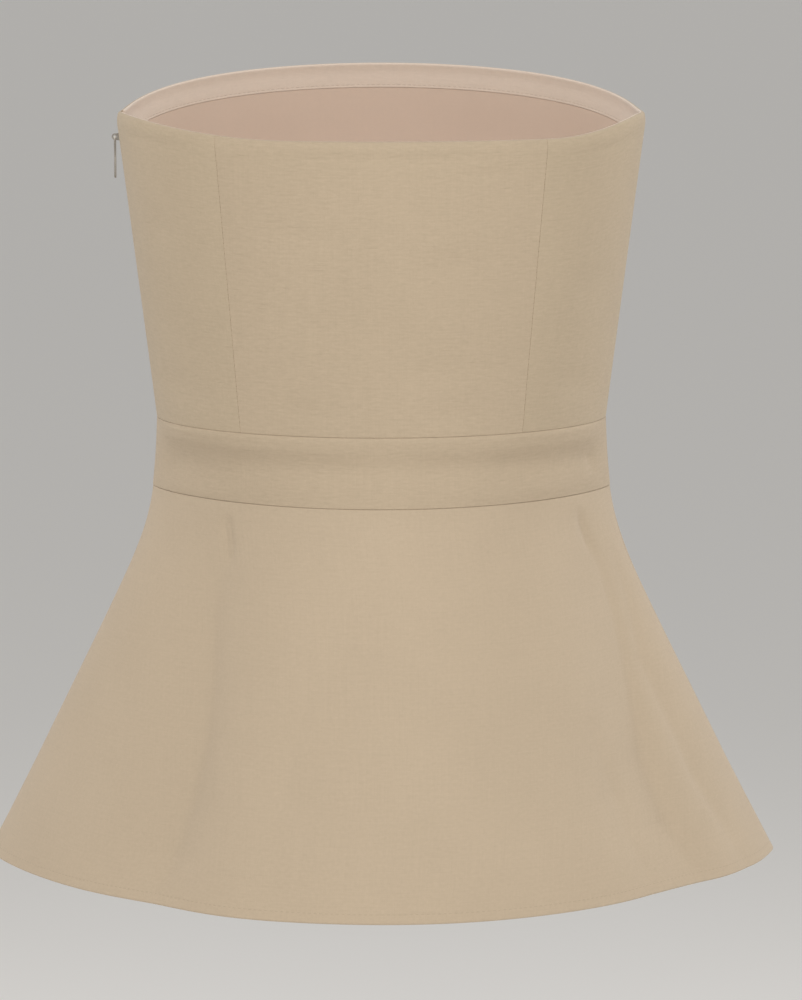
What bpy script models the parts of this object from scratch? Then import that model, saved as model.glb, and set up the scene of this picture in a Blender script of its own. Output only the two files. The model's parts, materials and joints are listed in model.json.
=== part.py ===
"""Strapless linen top with a shaped waistband and a flared peplum.

The bodice is six panels, three at the back and three at the front, with a narrow facing and a smooth
lining inside. A concealed zip closes the side seam at -X; its slider and pull tab show outside. The top
hangs as it is worn, with nothing inside it: the back faces -Y, the front +Y. Metres, +Z up. The origin is
the middle of the top edge, at the height of the side seams.
"""

import math
from collections import namedtuple

import bmesh
import bpy
from mathutils import Vector

COLLECTION_NAME = "strapless_linen_top"

# Heights of the seams and edges, before the top edge's own rise and dip, and the walls of the cloth.
TOP_EDGE = 0.0
UPPER_WAIST_SEAM = -0.1640
LOWER_WAIST_SEAM = -0.2030
HEM = -0.4115
CLOTH_WALL = 0.0012
FACING_WALL = 0.0014
LINING_WALL = 0.0010
TAPE_WALL = 0.0008
LAYER_GAP = 0.0005
SEAM_GAP = 0.0003

# The shape of the top edge: how far it stands up at the front and at the side seams, how far it dips at
# the back, and how far from each side seam that dip starts and ends. The edge itself curls in a little.
FRONT_RISE = 0.0268
FRONT_FULLNESS = 0.17
FRONT_EASE = 0.02
FRONT_JOIN = 3.0
SIDE_RISE = 0.0050
BACK_DIP = 0.0047
DIP_FROM = math.radians(9.0)
DIP_TO_BY_ZIP = math.radians(70.0)
DIP_TO_BY_PLAIN_SIDE = math.radians(51.0)
RIM_CURL = 0.0014
RIM_CURL_DEPTH = 0.0070

# Directions round the body: 0 is the zip's side seam at -X, then the back, +X and the front.
ZIP_SIDE = 0.0
BACK_LEFT_SEAM = math.radians(52.4)
BACK_RIGHT_SEAM = math.radians(127.6)
PLAIN_SIDE = math.pi
FRONT_RIGHT_SEAM = math.radians(232.0)
FRONT_LEFT_SEAM = math.radians(308.0)
FULL_TURN = 2.0 * math.pi
SIDE_PANEL_COLUMNS = 8
CENTRE_PANEL_COLUMNS = 10
PEPLUM_COLUMNS = 40

# A ring of the body: height at the side seam, half the width, depth behind and in front of the side
# seams, and the taper of each half, 0.5 for an ellipse and more where the side seam stands out.
Ring = namedtuple("Ring", "height half_width back front back_taper front_taper")

BODICE = (
    Ring(TOP_EDGE, 0.1466, 0.1030, 0.1100, 0.49, 0.48),
    Ring(-0.0450, 0.1406, 0.1012, 0.1180, 0.50, 0.50),
    Ring(-0.0850, 0.1354, 0.0990, 0.1150, 0.51, 0.50),
    Ring(-0.1250, 0.1302, 0.0966, 0.1040, 0.53, 0.51),
    Ring(UPPER_WAIST_SEAM, 0.1252, 0.0946, 0.0970, 0.55, 0.53),
)
WAISTBAND = (
    Ring(UPPER_WAIST_SEAM, 0.1252, 0.0946, 0.0970, 0.55, 0.53),
    Ring(-0.1840, 0.1262, 0.0936, 0.0966, 0.63, 0.61),
    Ring(LOWER_WAIST_SEAM, 0.1279, 0.0938, 0.0978, 0.71, 0.69),
)
PEPLUM = (
    Ring(LOWER_WAIST_SEAM, 0.1277, 0.0938, 0.0978, 0.71, 0.69),
    Ring(-0.2085, 0.1285, 0.0944, 0.0984, 0.71, 0.69),
    Ring(-0.2180, 0.1312, 0.0965, 0.1006, 0.71, 0.69),
    Ring(-0.2320, 0.1362, 0.1004, 0.1046, 0.71, 0.69),
    Ring(-0.2500, 0.1442, 0.1068, 0.1112, 0.715, 0.70),
    Ring(-0.2700, 0.1538, 0.1146, 0.1192, 0.72, 0.71),
    Ring(-0.3000, 0.1684, 0.1272, 0.1320, 0.725, 0.715),
    Ring(-0.3550, 0.1951, 0.1504, 0.1556, 0.735, 0.725),
    Ring(HEM, 0.2224, 0.1746, 0.1800, 0.745, 0.735),
)
SEAM_ROUNDING = 0.10

# The peplum's largest folds: where each stands at the waist and at the hem, how far it stands out (or
# in, when negative) at the hem, how wide it is, and the height where it starts.
Fold = namedtuple("Fold", "waist_at hem_at stands_out spread start")

FOLDS = (
    Fold(48.0, 55.5, -0.0030, 6.5, -0.210),
    Fold(59.0, 68.0, 0.0018, 7.5, -0.215),
    Fold(101.0, 103.0, 0.0012, 14.0, -0.290),
    Fold(147.0, 138.0, -0.0034, 7.0, -0.210),
    Fold(150.0, 148.0, 0.0022, 5.0, -0.225),
    Fold(161.0, 159.0, 0.0016, 5.0, -0.235),
    Fold(203.0, 207.0, 0.0020, 6.0, -0.220),
    Fold(215.0, 221.0, -0.0034, 7.5, -0.210),
    Fold(262.0, 258.0, 0.0014, 13.0, -0.280),
    Fold(313.0, 307.0, -0.0036, 7.0, -0.210),
    Fold(323.0, 320.0, 0.0022, 6.0, -0.225),
)

PEPLUM_ROWS = (-0.2120, -0.2220, -0.2330, -0.2450, -0.2590, -0.2760, -0.2980, -0.3260, -0.3600)
RIM_ROWS = (-0.0025, -0.0070)
BODICE_ROWS = 8
BAND_ROWS = 3
FACING_DEPTH = 0.0143

# The concealed zip: the seam stands open above the slider and closes below it.
SLIDER_HEIGHT = -0.0087
ZIP_OPEN_TO = -0.0180
ZIP_CLOSED_FROM = -0.0290
ZIP_OPEN_HALF = 0.0009
ZIP_TAPE_TOP = -0.0030
ZIP_TAPE_END = -0.2600
ZIP_TAPE_WIDTH = 0.0085

# The slider's bridge and pull tab. The tab turns on a bar through the bridge's eye, along Y.
HINGE_X = -0.1472
BRIDGE_WALL = 0.0012
BRIDGE_EYE = 0.0010
BRIDGE_ROUND = 0.0018
BRIDGE_SHOULDER = 0.0040
BRIDGE_NECK = 0.0026
SLIDER_BODY = Vector((0.0022, 0.0060, 0.0090))
TAB_WALL = 0.0010
TAB_LENGTH = 0.0228
TAB_HALF_WIDTH = 0.0019
TAB_EYE_HALF_WIDTH = 0.0010
TAB_BAR = 0.0005
TAB_EYE_LENGTH = 0.0030
ROUND_CORNERS = 6

# Colour and roughness of each material. The slider and the pull tab are metal.
LINEN_COLOUR = (0.52, 0.42, 0.29, 1.0)
FACING_COLOUR = (0.58, 0.46, 0.36, 1.0)
LINING_COLOUR = (0.46, 0.35, 0.28, 1.0)
TAPE_COLOUR = (0.50, 0.41, 0.30, 1.0)
METAL_COLOUR = (0.50, 0.47, 0.42, 1.0)
CLOTH_ROUGHNESS = 0.9
LINING_ROUGHNESS = 0.6
METAL_ROUGHNESS = 0.3


def clear_scene():
    """Remove the objects the file opened with."""
    for item in list(bpy.data.objects):
        bpy.data.objects.remove(item, do_unlink=True)


def new_collection(name):
    """A collection in the scene."""
    collection = bpy.data.collections.new(name)
    bpy.context.scene.collection.children.link(collection)
    return collection


def new_material(name, colour, roughness, metallic=0.0):
    """A Principled material of one colour."""
    material = bpy.data.materials.new(name)
    material.use_nodes = True
    shader = material.node_tree.nodes["Principled BSDF"]
    shader.inputs["Base Color"].default_value = colour
    shader.inputs["Roughness"].default_value = roughness
    shader.inputs["Metallic"].default_value = metallic
    material.diffuse_color = colour
    return material


def blend(low, high, share):
    """The value a share of the way from low to high."""
    return low + (high - low) * share


def ease(low, high, value):
    """0 up to low, 1 from high on, and a smooth rise between."""
    share = min(max((value - low) / (high - low), 0.0), 1.0)
    return share * share * (3.0 - 2.0 * share)


def smooth_column(rings, column, height):
    """One column of a ring table at a height, on a smooth curve through its rows."""
    last = len(rings) - 2
    row = min(max(sum(1 for ring in rings if ring.height > height) - 1, 0), last)
    upper = rings[row]
    lower = rings[row + 1]
    span = lower.height - upper.height

    def slope(index):
        before = rings[max(index - 1, 0)]
        after = rings[min(index + 1, last + 1)]
        return (getattr(after, column) - getattr(before, column)) / (after.height - before.height)

    share = (height - upper.height) / span
    start = getattr(upper, column)
    end = getattr(lower, column)
    start_slope = slope(row) * span
    end_slope = slope(row + 1) * span
    square = share * share
    cube = square * share
    return (
        (2.0 * cube - 3.0 * square + 1.0) * start
        + (cube - 2.0 * square + share) * start_slope
        + (3.0 * square - 2.0 * cube) * end
        + (cube - square) * end_slope
    )


def ring_point(rings, turn, height):
    """The point of a ring table's surface at a turn round the body and a height, before any folds."""
    side = math.sin(turn)
    half = "back" if side > 0.0 else "front"
    half_width = smooth_column(rings, "half_width", height)
    depth = smooth_column(rings, half, height)
    taper = smooth_column(rings, half + "_taper", height)
    rounding = SEAM_ROUNDING * SEAM_ROUNDING
    fullness = ((side * side + rounding) / (1.0 + rounding)) ** (taper - 0.5)
    return Vector((-half_width * math.cos(turn), -side * depth * fullness, height))


def rim_height(turn):
    """How far the top edge stands above its datum at a turn round the body, or below it."""
    turn = turn % FULL_TURN
    side = math.sin(turn)
    if side < 0.0:
        share = side * side / (FRONT_EASE - side) * (1.0 + FRONT_EASE)
        front = FRONT_RISE * share * (1.0 + FRONT_FULLNESS * (1.0 + side))
        return (SIDE_RISE ** FRONT_JOIN + front ** FRONT_JOIN) ** (1.0 / FRONT_JOIN)
    if turn < math.pi / 2.0:
        dipped = ease(DIP_FROM, DIP_TO_BY_ZIP, turn)
    else:
        dipped = ease(DIP_FROM, DIP_TO_BY_PLAIN_SIDE, math.pi - turn)
    return blend(SIDE_RISE, -BACK_DIP, dipped)


def rim_stretch(turn):
    """How much longer the bodice is at a turn than its ring table, because of the top edge's shape."""
    return 1.0 + rim_height(turn) / (TOP_EDGE - UPPER_WAIST_SEAM)


def rim_curl(turn, height):
    """How far the cloth curls in near the top edge."""
    depth = (TOP_EDGE - height) * rim_stretch(turn)
    near = max(1.0 - depth / RIM_CURL_DEPTH, 0.0)
    return RIM_CURL * near * near


def fold_depth(turn, height):
    """How far the peplum's folds push the cloth out at a turn and a height."""
    down = (LOWER_WAIST_SEAM - height) / (LOWER_WAIST_SEAM - HEM)
    total = 0.0
    for fold in FOLDS:
        centre = blend(fold.waist_at, fold.hem_at, down)
        off = (math.degrees(turn) - centre) / fold.spread
        strength = ease(0.0, fold.start - HEM, fold.start - height)
        total += fold.stands_out * math.sqrt(strength) * math.exp(-0.5 * off * off)
    return total


def surface(zone, turn, height):
    """The outer face of the cloth, with the rim's slope in the bodice and the folds in the peplum."""
    turn = turn % FULL_TURN
    point = ring_point(zone, turn, height)
    if zone is BODICE:
        point.z += (rim_stretch(turn) - 1.0) * (height - UPPER_WAIST_SEAM)
    if zone is PEPLUM:
        step = 0.01
        along = ring_point(zone, turn + step, height) - ring_point(zone, turn - step, height)
        outward = Vector((along.y, -along.x, 0.0)).normalized()
        if outward.dot(Vector((point.x, point.y, 0.0))) < 0.0:
            outward = -outward
        point += outward * fold_depth(turn, height)
    return point


def layer_point(zone, turn, height, inset):
    """A point that lies inset below the cloth's outer face, square to it."""
    step = 0.01
    rise = 0.0005
    around = surface(zone, turn + step, height) - surface(zone, turn - step, height)
    top = min(height + rise, zone[0].height)
    bottom = max(height - rise, zone[-1].height)
    upward = surface(zone, turn, top) - surface(zone, turn, bottom)
    outward = upward.cross(around).normalized()
    point = surface(zone, turn, height)
    if outward.dot(Vector((point.x, point.y, 0.0))) < 0.0:
        outward = -outward
    if zone is BODICE:
        inset += rim_curl(turn, height)
    return point - outward * inset


def turn_off_seam(zone, turn, height, width):
    """How much turn a width of cloth takes up beside a seam, to set out gaps and strips."""
    seam = surface(zone, turn, height)
    off = 0.01
    for _ in range(4):
        off *= width / (surface(zone, turn + off, height) - seam).length
    return off


def zone_at(height):
    """The ring table that a height belongs to."""
    if height > UPPER_WAIST_SEAM:
        return BODICE
    if height > LOWER_WAIST_SEAM:
        return WAISTBAND
    return PEPLUM


def zip_half_gap(height):
    """Half the gap of the zip's seam: open above the slider, closed below it."""
    opened = ease(ZIP_CLOSED_FROM, ZIP_OPEN_TO, height)
    return blend(SEAM_GAP / 2.0, ZIP_OPEN_HALF, opened)


def plain_half_gap(height):
    """Half the gap of a sewn seam."""
    return SEAM_GAP / 2.0


def tape_edge_gap(height):
    """From the zip's seam to the edge of the facing or lining, just clear of the tape."""
    return ZIP_TAPE_WIDTH + SEAM_GAP


def cloth_turns(start, end, columns):
    """Turns from one seam to the next, evenly spread."""
    return [blend(start, end, index / columns) for index in range(columns + 1)]


def heights_between(top, bottom, rows):
    """Heights from one edge to the other, evenly spread."""
    return [blend(top, bottom, index / rows) for index in range(rows + 1)]


def body_heights():
    """The bodice's rows below its curled edge, from the slider's foot down to its lower edge."""
    return heights_between(ZIP_OPEN_TO, UPPER_WAIST_SEAM + SEAM_GAP / 2.0, BODICE_ROWS)


def bodice_heights():
    """The bodice's rows, from the top edge to its lower edge."""
    return [TOP_EDGE, *RIM_ROWS, *body_heights()]


def band_heights():
    """The waistband's rows, from its upper edge to its lower edge."""
    return heights_between(UPPER_WAIST_SEAM - SEAM_GAP / 2.0, LOWER_WAIST_SEAM + SEAM_GAP / 2.0, BAND_ROWS)


def peplum_heights():
    """The peplum's rows, closer together where it starts to flare."""
    return [LOWER_WAIST_SEAM - SEAM_GAP / 2.0, *PEPLUM_ROWS, HEM]


def panel_rows(turns, heights, start_gap, end_gap, inset, drop=None):
    """Rows of points of one face of a panel, held off the seams at its two ends by their gaps."""
    rows = []
    for height in heights:
        row = []
        for column, turn in enumerate(turns):
            level = height
            if drop is not None:
                level = drop(turn, height)
            zone = zone_at(level)
            if column == 0:
                turn += turn_off_seam(zone, turn, level, start_gap(level))
            if column == len(turns) - 1:
                turn -= turn_off_seam(zone, turn, level, end_gap(level))
            row.append(layer_point(zone, turn, level, inset))
        rows.append(row)
    return rows


def wall_object(collection, name, material, outer_rows, inner_rows):
    """A closed wall between two grids of points that match row for row."""
    mesh = bpy.data.meshes.new(name)
    bm = bmesh.new()
    outer = [[bm.verts.new(point) for point in row] for row in outer_rows]
    inner = [[bm.verts.new(point) for point in row] for row in inner_rows]
    rows = len(outer)
    columns = len(outer[0])
    for row in range(rows - 1):
        for column in range(columns - 1):
            for grid in (outer, inner):
                bm.faces.new((
                    grid[row][column],
                    grid[row + 1][column],
                    grid[row + 1][column + 1],
                    grid[row][column + 1],
                ))
    for column in range(columns - 1):
        for row in (0, rows - 1):
            bm.faces.new((
                outer[row][column], outer[row][column + 1], inner[row][column + 1], inner[row][column]
            ))
    for row in range(rows - 1):
        for column in (0, columns - 1):
            bm.faces.new((
                outer[row][column], outer[row + 1][column], inner[row + 1][column], inner[row][column]
            ))
    bmesh.ops.recalc_face_normals(bm, faces=bm.faces)
    bm.to_mesh(mesh)
    bm.free()
    mesh.shade_smooth()
    mesh.set_sharp_from_angle(angle=math.radians(40.0))
    mesh.materials.append(material)
    item = bpy.data.objects.new(name, mesh)
    collection.objects.link(item)
    return item


def add_panel(collection, name, material, turns, heights, gaps, layers, drop=None):
    """A panel of cloth: its seams' gaps at either end, and the depths of its outer and inner face."""
    start_gap, end_gap = gaps
    outer_inset, wall = layers
    outer = panel_rows(turns, heights, start_gap, end_gap, outer_inset, drop)
    inner = panel_rows(turns, heights, start_gap, end_gap, outer_inset + wall, drop)
    return wall_object(collection, name, material, outer, inner)


def add_bodice(collection, linen):
    """Six panels from the top edge to the upper waist seam."""
    heights = bodice_heights()
    side = SIDE_PANEL_COLUMNS
    centre = CENTRE_PANEL_COLUMNS
    panels = (
        ("bodice_back_side_left", ZIP_SIDE, BACK_LEFT_SEAM, side, zip_half_gap, plain_half_gap),
        ("bodice_back_centre", BACK_LEFT_SEAM, BACK_RIGHT_SEAM, centre, plain_half_gap, plain_half_gap),
        ("bodice_back_side_right", BACK_RIGHT_SEAM, PLAIN_SIDE, side, plain_half_gap, plain_half_gap),
        ("bodice_front_side_right", PLAIN_SIDE, FRONT_RIGHT_SEAM, side, plain_half_gap, plain_half_gap),
        ("bodice_front_centre", FRONT_RIGHT_SEAM, FRONT_LEFT_SEAM, centre, plain_half_gap, plain_half_gap),
        ("bodice_front_side_left", FRONT_LEFT_SEAM, FULL_TURN, side, plain_half_gap, zip_half_gap),
    )
    for name, start, end, columns, start_gap, end_gap in panels:
        turns = cloth_turns(start, end, columns)
        add_panel(collection, name, linen, turns, heights, (start_gap, end_gap), (0.0, CLOTH_WALL))


def half_turns(start, back):
    """The bodice's columns over a whole half, so that inner layers follow its flat facets."""
    seams = (BACK_LEFT_SEAM, BACK_RIGHT_SEAM) if back else (FRONT_RIGHT_SEAM, FRONT_LEFT_SEAM)
    end = start + math.pi
    turns = cloth_turns(start, seams[0], SIDE_PANEL_COLUMNS)
    turns += cloth_turns(seams[0], seams[1], CENTRE_PANEL_COLUMNS)[1:]
    turns += cloth_turns(seams[1], end, SIDE_PANEL_COLUMNS)[1:]
    return turns


def add_waistband(collection, linen):
    """Two straight strips between the waist seams."""
    heights = band_heights()
    gaps = (plain_half_gap, plain_half_gap)
    for name, start, back in (("waistband_back", ZIP_SIDE, True), ("waistband_front", PLAIN_SIDE, False)):
        add_panel(collection, name, linen, half_turns(start, back), heights, gaps, (0.0, CLOTH_WALL))


def add_peplum(collection, linen):
    """Two flared panels from the lower waist seam to the hem, with their folds."""
    heights = peplum_heights()
    gaps = (plain_half_gap, plain_half_gap)
    for name, start in (("peplum_back", ZIP_SIDE), ("peplum_front", PLAIN_SIDE)):
        turns = cloth_turns(start, start + math.pi, PEPLUM_COLUMNS)
        add_panel(collection, name, linen, turns, heights, gaps, (0.0, CLOTH_WALL))


def below_rim(turn, depth):
    """The ring height of a point that hangs a set depth below the top edge."""
    return TOP_EDGE - depth / rim_stretch(turn)


def facing_drop(turn, height):
    """The facing is measured down from the top edge, wherever that stands."""
    return below_rim(turn, -height)


def lining_drop(turn, height):
    """The lining starts just under the facing and follows the bodice's rows below it."""
    if height > -FACING_DEPTH - SEAM_GAP:
        return below_rim(turn, FACING_DEPTH + SEAM_GAP)
    return height


def add_inner_layers(collection, facing, lining):
    """The facing band and the lining, in halves that stop at the zip's tape."""
    inset = CLOTH_WALL + LAYER_GAP
    lining_rows = [TOP_EDGE, *body_heights(), *band_heights()]
    facing_rows = [TOP_EDGE, *RIM_ROWS, -FACING_DEPTH]
    back_turns = half_turns(ZIP_SIDE, True)
    front_turns = half_turns(PLAIN_SIDE, False)
    halves = (
        ("back", back_turns[:1] + back_turns[2:], (tape_edge_gap, plain_half_gap)),
        ("front", front_turns[:-2] + front_turns[-1:], (plain_half_gap, tape_edge_gap)),
    )
    for half, turns, gaps in halves:
        add_panel(
            collection, "facing_" + half, facing, turns, facing_rows, gaps, (inset, FACING_WALL), facing_drop
        )
        add_panel(
            collection, "lining_" + half, lining, turns, lining_rows, gaps, (inset, LINING_WALL), lining_drop
        )


def add_zip_tapes(collection, tape):
    """Two strips of tape inside the zip's seam, one on each panel's edge."""
    heights = [ZIP_TAPE_TOP, RIM_ROWS[-1], ZIP_OPEN_TO, ZIP_CLOSED_FROM, *body_heights()[1:]]
    heights += band_heights()
    heights += [row for row in peplum_heights() if row > ZIP_TAPE_END] + [ZIP_TAPE_END]
    inset = CLOTH_WALL + LAYER_GAP
    for name, side in (("zip_tape_back", 1.0), ("zip_tape_front", -1.0)):
        faces = []
        for depth in (inset, inset + TAPE_WALL):
            rows = []
            for height in heights:
                zone = zone_at(height)
                near = zip_half_gap(height)
                marks = (near, blend(near, ZIP_TAPE_WIDTH, 0.5), ZIP_TAPE_WIDTH)
                turns = [side * turn_off_seam(zone, ZIP_SIDE, height, mark) for mark in marks]
                rows.append([layer_point(zone, turn, height, depth) for turn in turns])
            faces.append(rows)
        wall_object(collection, name, tape, faces[0], faces[1])


def flat_outline(name, outlines, thickness):
    """A closed mesh of a flat outline with its holes, as thick as given, in the XY plane."""
    curve = bpy.data.curves.new(name, "CURVE")
    curve.dimensions = "2D"
    curve.fill_mode = "BOTH"
    curve.extrude = thickness / 2.0
    for outline in outlines:
        spline = curve.splines.new("POLY")
        spline.points.add(len(outline) - 1)
        for point, (across, up) in zip(spline.points, outline):
            point.co = (across, up, 0.0, 1.0)
        spline.use_cyclic_u = True
    guide = bpy.data.objects.new(name, curve)
    bpy.context.scene.collection.objects.link(guide)
    graph = bpy.context.evaluated_depsgraph_get()
    mesh = bpy.data.meshes.new_from_object(guide.evaluated_get(graph))
    bpy.data.objects.remove(guide, do_unlink=True)
    bm = bmesh.new()
    bm.from_mesh(mesh)
    bmesh.ops.remove_doubles(bm, verts=bm.verts, dist=0.00001)
    bmesh.ops.recalc_face_normals(bm, faces=bm.faces)
    bm.to_mesh(mesh)
    bm.free()
    return mesh


def arc(centre, radius, start, end, steps):
    """Points along an arc, in degrees from +X, turning anticlockwise."""
    points = []
    for index in range(steps + 1):
        angle = math.radians(blend(start, end, index / steps))
        points.append((centre[0] + radius * math.cos(angle), centre[1] + radius * math.sin(angle)))
    return points


def add_slider_body(cutters, middle, lean):
    """The slider's body behind the tapes, leaning with the side seam, to be joined to the bridge."""
    mesh = bpy.data.meshes.new("slider_body")
    bm = bmesh.new()
    bmesh.ops.create_cube(bm, size=1.0)
    bmesh.ops.scale(bm, verts=bm.verts, vec=SLIDER_BODY)
    bm.to_mesh(mesh)
    bm.free()
    body = bpy.data.objects.new("slider_body", mesh)
    body.location = (middle, 0.0, SLIDER_HEIGHT)
    body.rotation_euler = (0.0, lean, 0.0)
    body.hide_render = True
    body.display_type = "WIRE"
    cutters.objects.link(body)
    return body


def add_slider(collection, cutters, metal):
    """The slider: a bridge plate through the open seam, with a body behind the tapes."""
    drop = SIDE_RISE - SLIDER_HEIGHT
    cloth = surface(BODICE, ZIP_SIDE, below_rim(ZIP_SIDE, drop))
    below = surface(BODICE, ZIP_SIDE, below_rim(ZIP_SIDE, drop + SLIDER_BODY.z))
    lean = math.atan2(cloth.x - below.x, cloth.z - below.z)
    layers = CLOTH_WALL + LAYER_GAP + TAPE_WALL + LAYER_GAP
    middle = cloth.x + layers + SLIDER_BODY.x / 2.0
    reach = middle - HINGE_X
    throat = cloth.x - HINGE_X - SEAM_GAP
    bridge = arc((0.0, 0.0), BRIDGE_ROUND, 110.0, 250.0, 2 * ROUND_CORNERS)
    bridge += [(throat, -BRIDGE_SHOULDER), (reach, -BRIDGE_NECK), (reach, BRIDGE_NECK)]
    bridge += [(throat, BRIDGE_SHOULDER)]
    eye = arc((0.0, 0.0), BRIDGE_EYE, 0.0, 330.0, 2 * ROUND_CORNERS - 1)
    mesh = flat_outline("zip_slider", (bridge, eye), BRIDGE_WALL)
    slider = bpy.data.objects.new("zip_slider", mesh)
    slider.location = (HINGE_X, 0.0, SLIDER_HEIGHT)
    slider.rotation_euler = (math.radians(90.0), 0.0, 0.0)
    collection.objects.link(slider)
    mesh.materials.append(metal)
    join = slider.modifiers.new("body", "BOOLEAN")
    join.operation = "UNION"
    join.object = add_slider_body(cutters, middle, lean)
    return slider


def add_pull(collection, metal):
    """The pull tab: a flat strip with an eye, turning on its top bar in the bridge's eye."""
    half = TAB_HALF_WIDTH
    bottom = TAB_LENGTH
    outline = arc((0.0, -bottom + half), half, 180.0, 360.0, ROUND_CORNERS)
    outline += [(half, TAB_BAR), (-half, TAB_BAR)]
    eye = [
        (-TAB_EYE_HALF_WIDTH, -TAB_BAR),
        (TAB_EYE_HALF_WIDTH, -TAB_BAR),
        (TAB_EYE_HALF_WIDTH, -TAB_EYE_LENGTH),
        (-TAB_EYE_HALF_WIDTH, -TAB_EYE_LENGTH),
    ]
    mesh = flat_outline("zip_pull", (outline, eye), TAB_WALL)
    pull = bpy.data.objects.new("zip_pull", mesh)
    pull.location = (HINGE_X, 0.0, SLIDER_HEIGHT)
    pull.rotation_euler = (math.radians(90.0), 0.0, math.radians(90.0))
    collection.objects.link(pull)
    mesh.materials.append(metal)
    return pull


def main():
    """Build every piece of the top."""
    clear_scene()
    collection = new_collection(COLLECTION_NAME)
    cutters = new_collection("cutters")
    linen = new_material("linen", LINEN_COLOUR, CLOTH_ROUGHNESS)
    facing = new_material("facing", FACING_COLOUR, CLOTH_ROUGHNESS)
    lining = new_material("lining", LINING_COLOUR, LINING_ROUGHNESS)
    tape = new_material("zip_tape", TAPE_COLOUR, CLOTH_ROUGHNESS)
    metal = new_material("zip_metal", METAL_COLOUR, METAL_ROUGHNESS, 1.0)
    add_bodice(collection, linen)
    add_waistband(collection, linen)
    add_peplum(collection, linen)
    add_inner_layers(collection, facing, lining)
    add_zip_tapes(collection, tape)
    add_slider(collection, cutters, metal)
    add_pull(collection, metal)


main()
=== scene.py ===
"""Strapless linen top, filled out as it is worn and seen from behind, in a plain pale studio."""

import json
import math
from collections import namedtuple

import bmesh
import bpy
import numpy as np
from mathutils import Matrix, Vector


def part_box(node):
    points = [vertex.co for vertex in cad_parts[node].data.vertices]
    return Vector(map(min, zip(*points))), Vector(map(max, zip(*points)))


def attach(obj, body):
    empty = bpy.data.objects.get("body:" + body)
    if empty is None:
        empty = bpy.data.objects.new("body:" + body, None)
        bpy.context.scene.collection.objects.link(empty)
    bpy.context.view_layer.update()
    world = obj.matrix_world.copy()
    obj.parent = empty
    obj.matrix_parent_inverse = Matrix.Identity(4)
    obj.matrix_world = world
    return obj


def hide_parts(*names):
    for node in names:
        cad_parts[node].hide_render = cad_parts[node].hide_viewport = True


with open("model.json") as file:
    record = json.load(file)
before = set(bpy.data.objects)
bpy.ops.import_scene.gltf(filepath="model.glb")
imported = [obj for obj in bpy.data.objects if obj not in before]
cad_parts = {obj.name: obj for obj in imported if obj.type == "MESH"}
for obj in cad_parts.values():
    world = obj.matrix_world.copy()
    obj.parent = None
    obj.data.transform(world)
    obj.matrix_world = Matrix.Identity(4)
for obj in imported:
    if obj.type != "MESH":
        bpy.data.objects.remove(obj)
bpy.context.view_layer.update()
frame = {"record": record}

# The photographer's view
# A long lens stands behind the wearer's back, a little above the top edge, and looks slightly down. It
# aims a touch to the side of the garment's middle, so that the left corner of the hem is cut off.
CAMERA_PLACE = Vector((0.0, -2.400, 0.157))
CAMERA_AIM = Vector((0.0109, 0.0, -0.212))
CAMERA_LENS = 156.1

camera_data = bpy.data.cameras.new("camera")
camera_data.lens = CAMERA_LENS
camera = bpy.data.objects.new("camera", camera_data)
camera.location = CAMERA_PLACE
camera.rotation_euler = (CAMERA_AIM - CAMERA_PLACE).to_track_quat("-Z", "Y").to_euler()
bpy.context.scene.collection.objects.link(camera)
bpy.context.scene.camera = camera

# The studio
# A wide pale floor far below the hem, pale air round it, and soft panels: a high one straight in front
# that shows the cloth's relief, two broad ones to the sides of it, and two slim ones that lift the edges.
FLOOR_HEIGHT = -1.05
FLOOR_SIZE = 160.0
FLOOR_COLOUR = (0.86, 0.85, 0.83, 1.0)
FLOOR_ROUGHNESS = 0.85
AIR_COLOUR = (1.0, 0.985, 0.965, 1.0)
AIR_STRENGTH = 0.50

PANEL_AIM = Vector((0.0, 0.0, -0.2))
SoftPanel = namedtuple("SoftPanel", "name place width height watts colour")
PANELS = (
    SoftPanel("front_high", (-0.15, -2.2, 1.35), 0.9, 0.8, 32.5, (1.0, 0.985, 0.96)),
    SoftPanel("front_left", (-2.1, -1.5, 0.5), 1.4, 1.8, 4.0, (1.0, 0.98, 0.955)),
    SoftPanel("front_right", (2.1, -1.5, 0.5), 1.4, 1.8, 8.0, (1.0, 0.98, 0.955)),
    SoftPanel("edge_left", (-1.6, 1.2, 0.5), 0.4, 1.6, 11.0, (1.0, 0.98, 0.97)),
    SoftPanel("edge_right", (1.6, 1.2, 0.5), 0.4, 1.6, 16.0, (1.0, 0.98, 0.97)),
)

bpy.context.scene.view_settings.view_transform = "Standard"
air = bpy.data.worlds.new("air")
air.use_nodes = True
air.node_tree.nodes["Background"].inputs["Color"].default_value = AIR_COLOUR
air.node_tree.nodes["Background"].inputs["Strength"].default_value = AIR_STRENGTH
bpy.context.scene.world = air

for panel in PANELS:
    light = bpy.data.lights.new(panel.name, "AREA")
    light.shape = "RECTANGLE"
    light.size = panel.width
    light.size_y = panel.height
    light.energy = panel.watts
    light.color = panel.colour
    lamp = bpy.data.objects.new(panel.name, light)
    lamp.location = panel.place
    lamp.rotation_euler = (PANEL_AIM - Vector(panel.place)).to_track_quat("-Z", "Y").to_euler()
    bpy.context.scene.collection.objects.link(lamp)

bpy.ops.object.select_all(action="DESELECT")
bpy.ops.mesh.primitive_plane_add(size=FLOOR_SIZE, location=(0.0, 0.0, FLOOR_HEIGHT))
floor = bpy.context.object
floor.name = "floor"
floor_paint = bpy.data.materials.new("floor_paint")
floor_paint.use_nodes = True
floor_shader = floor_paint.node_tree.nodes["Principled BSDF"]
floor_shader.inputs["Base Color"].default_value = FLOOR_COLOUR
floor_shader.inputs["Roughness"].default_value = FLOOR_ROUGHNESS
floor.data.materials.append(floor_paint)

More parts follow.
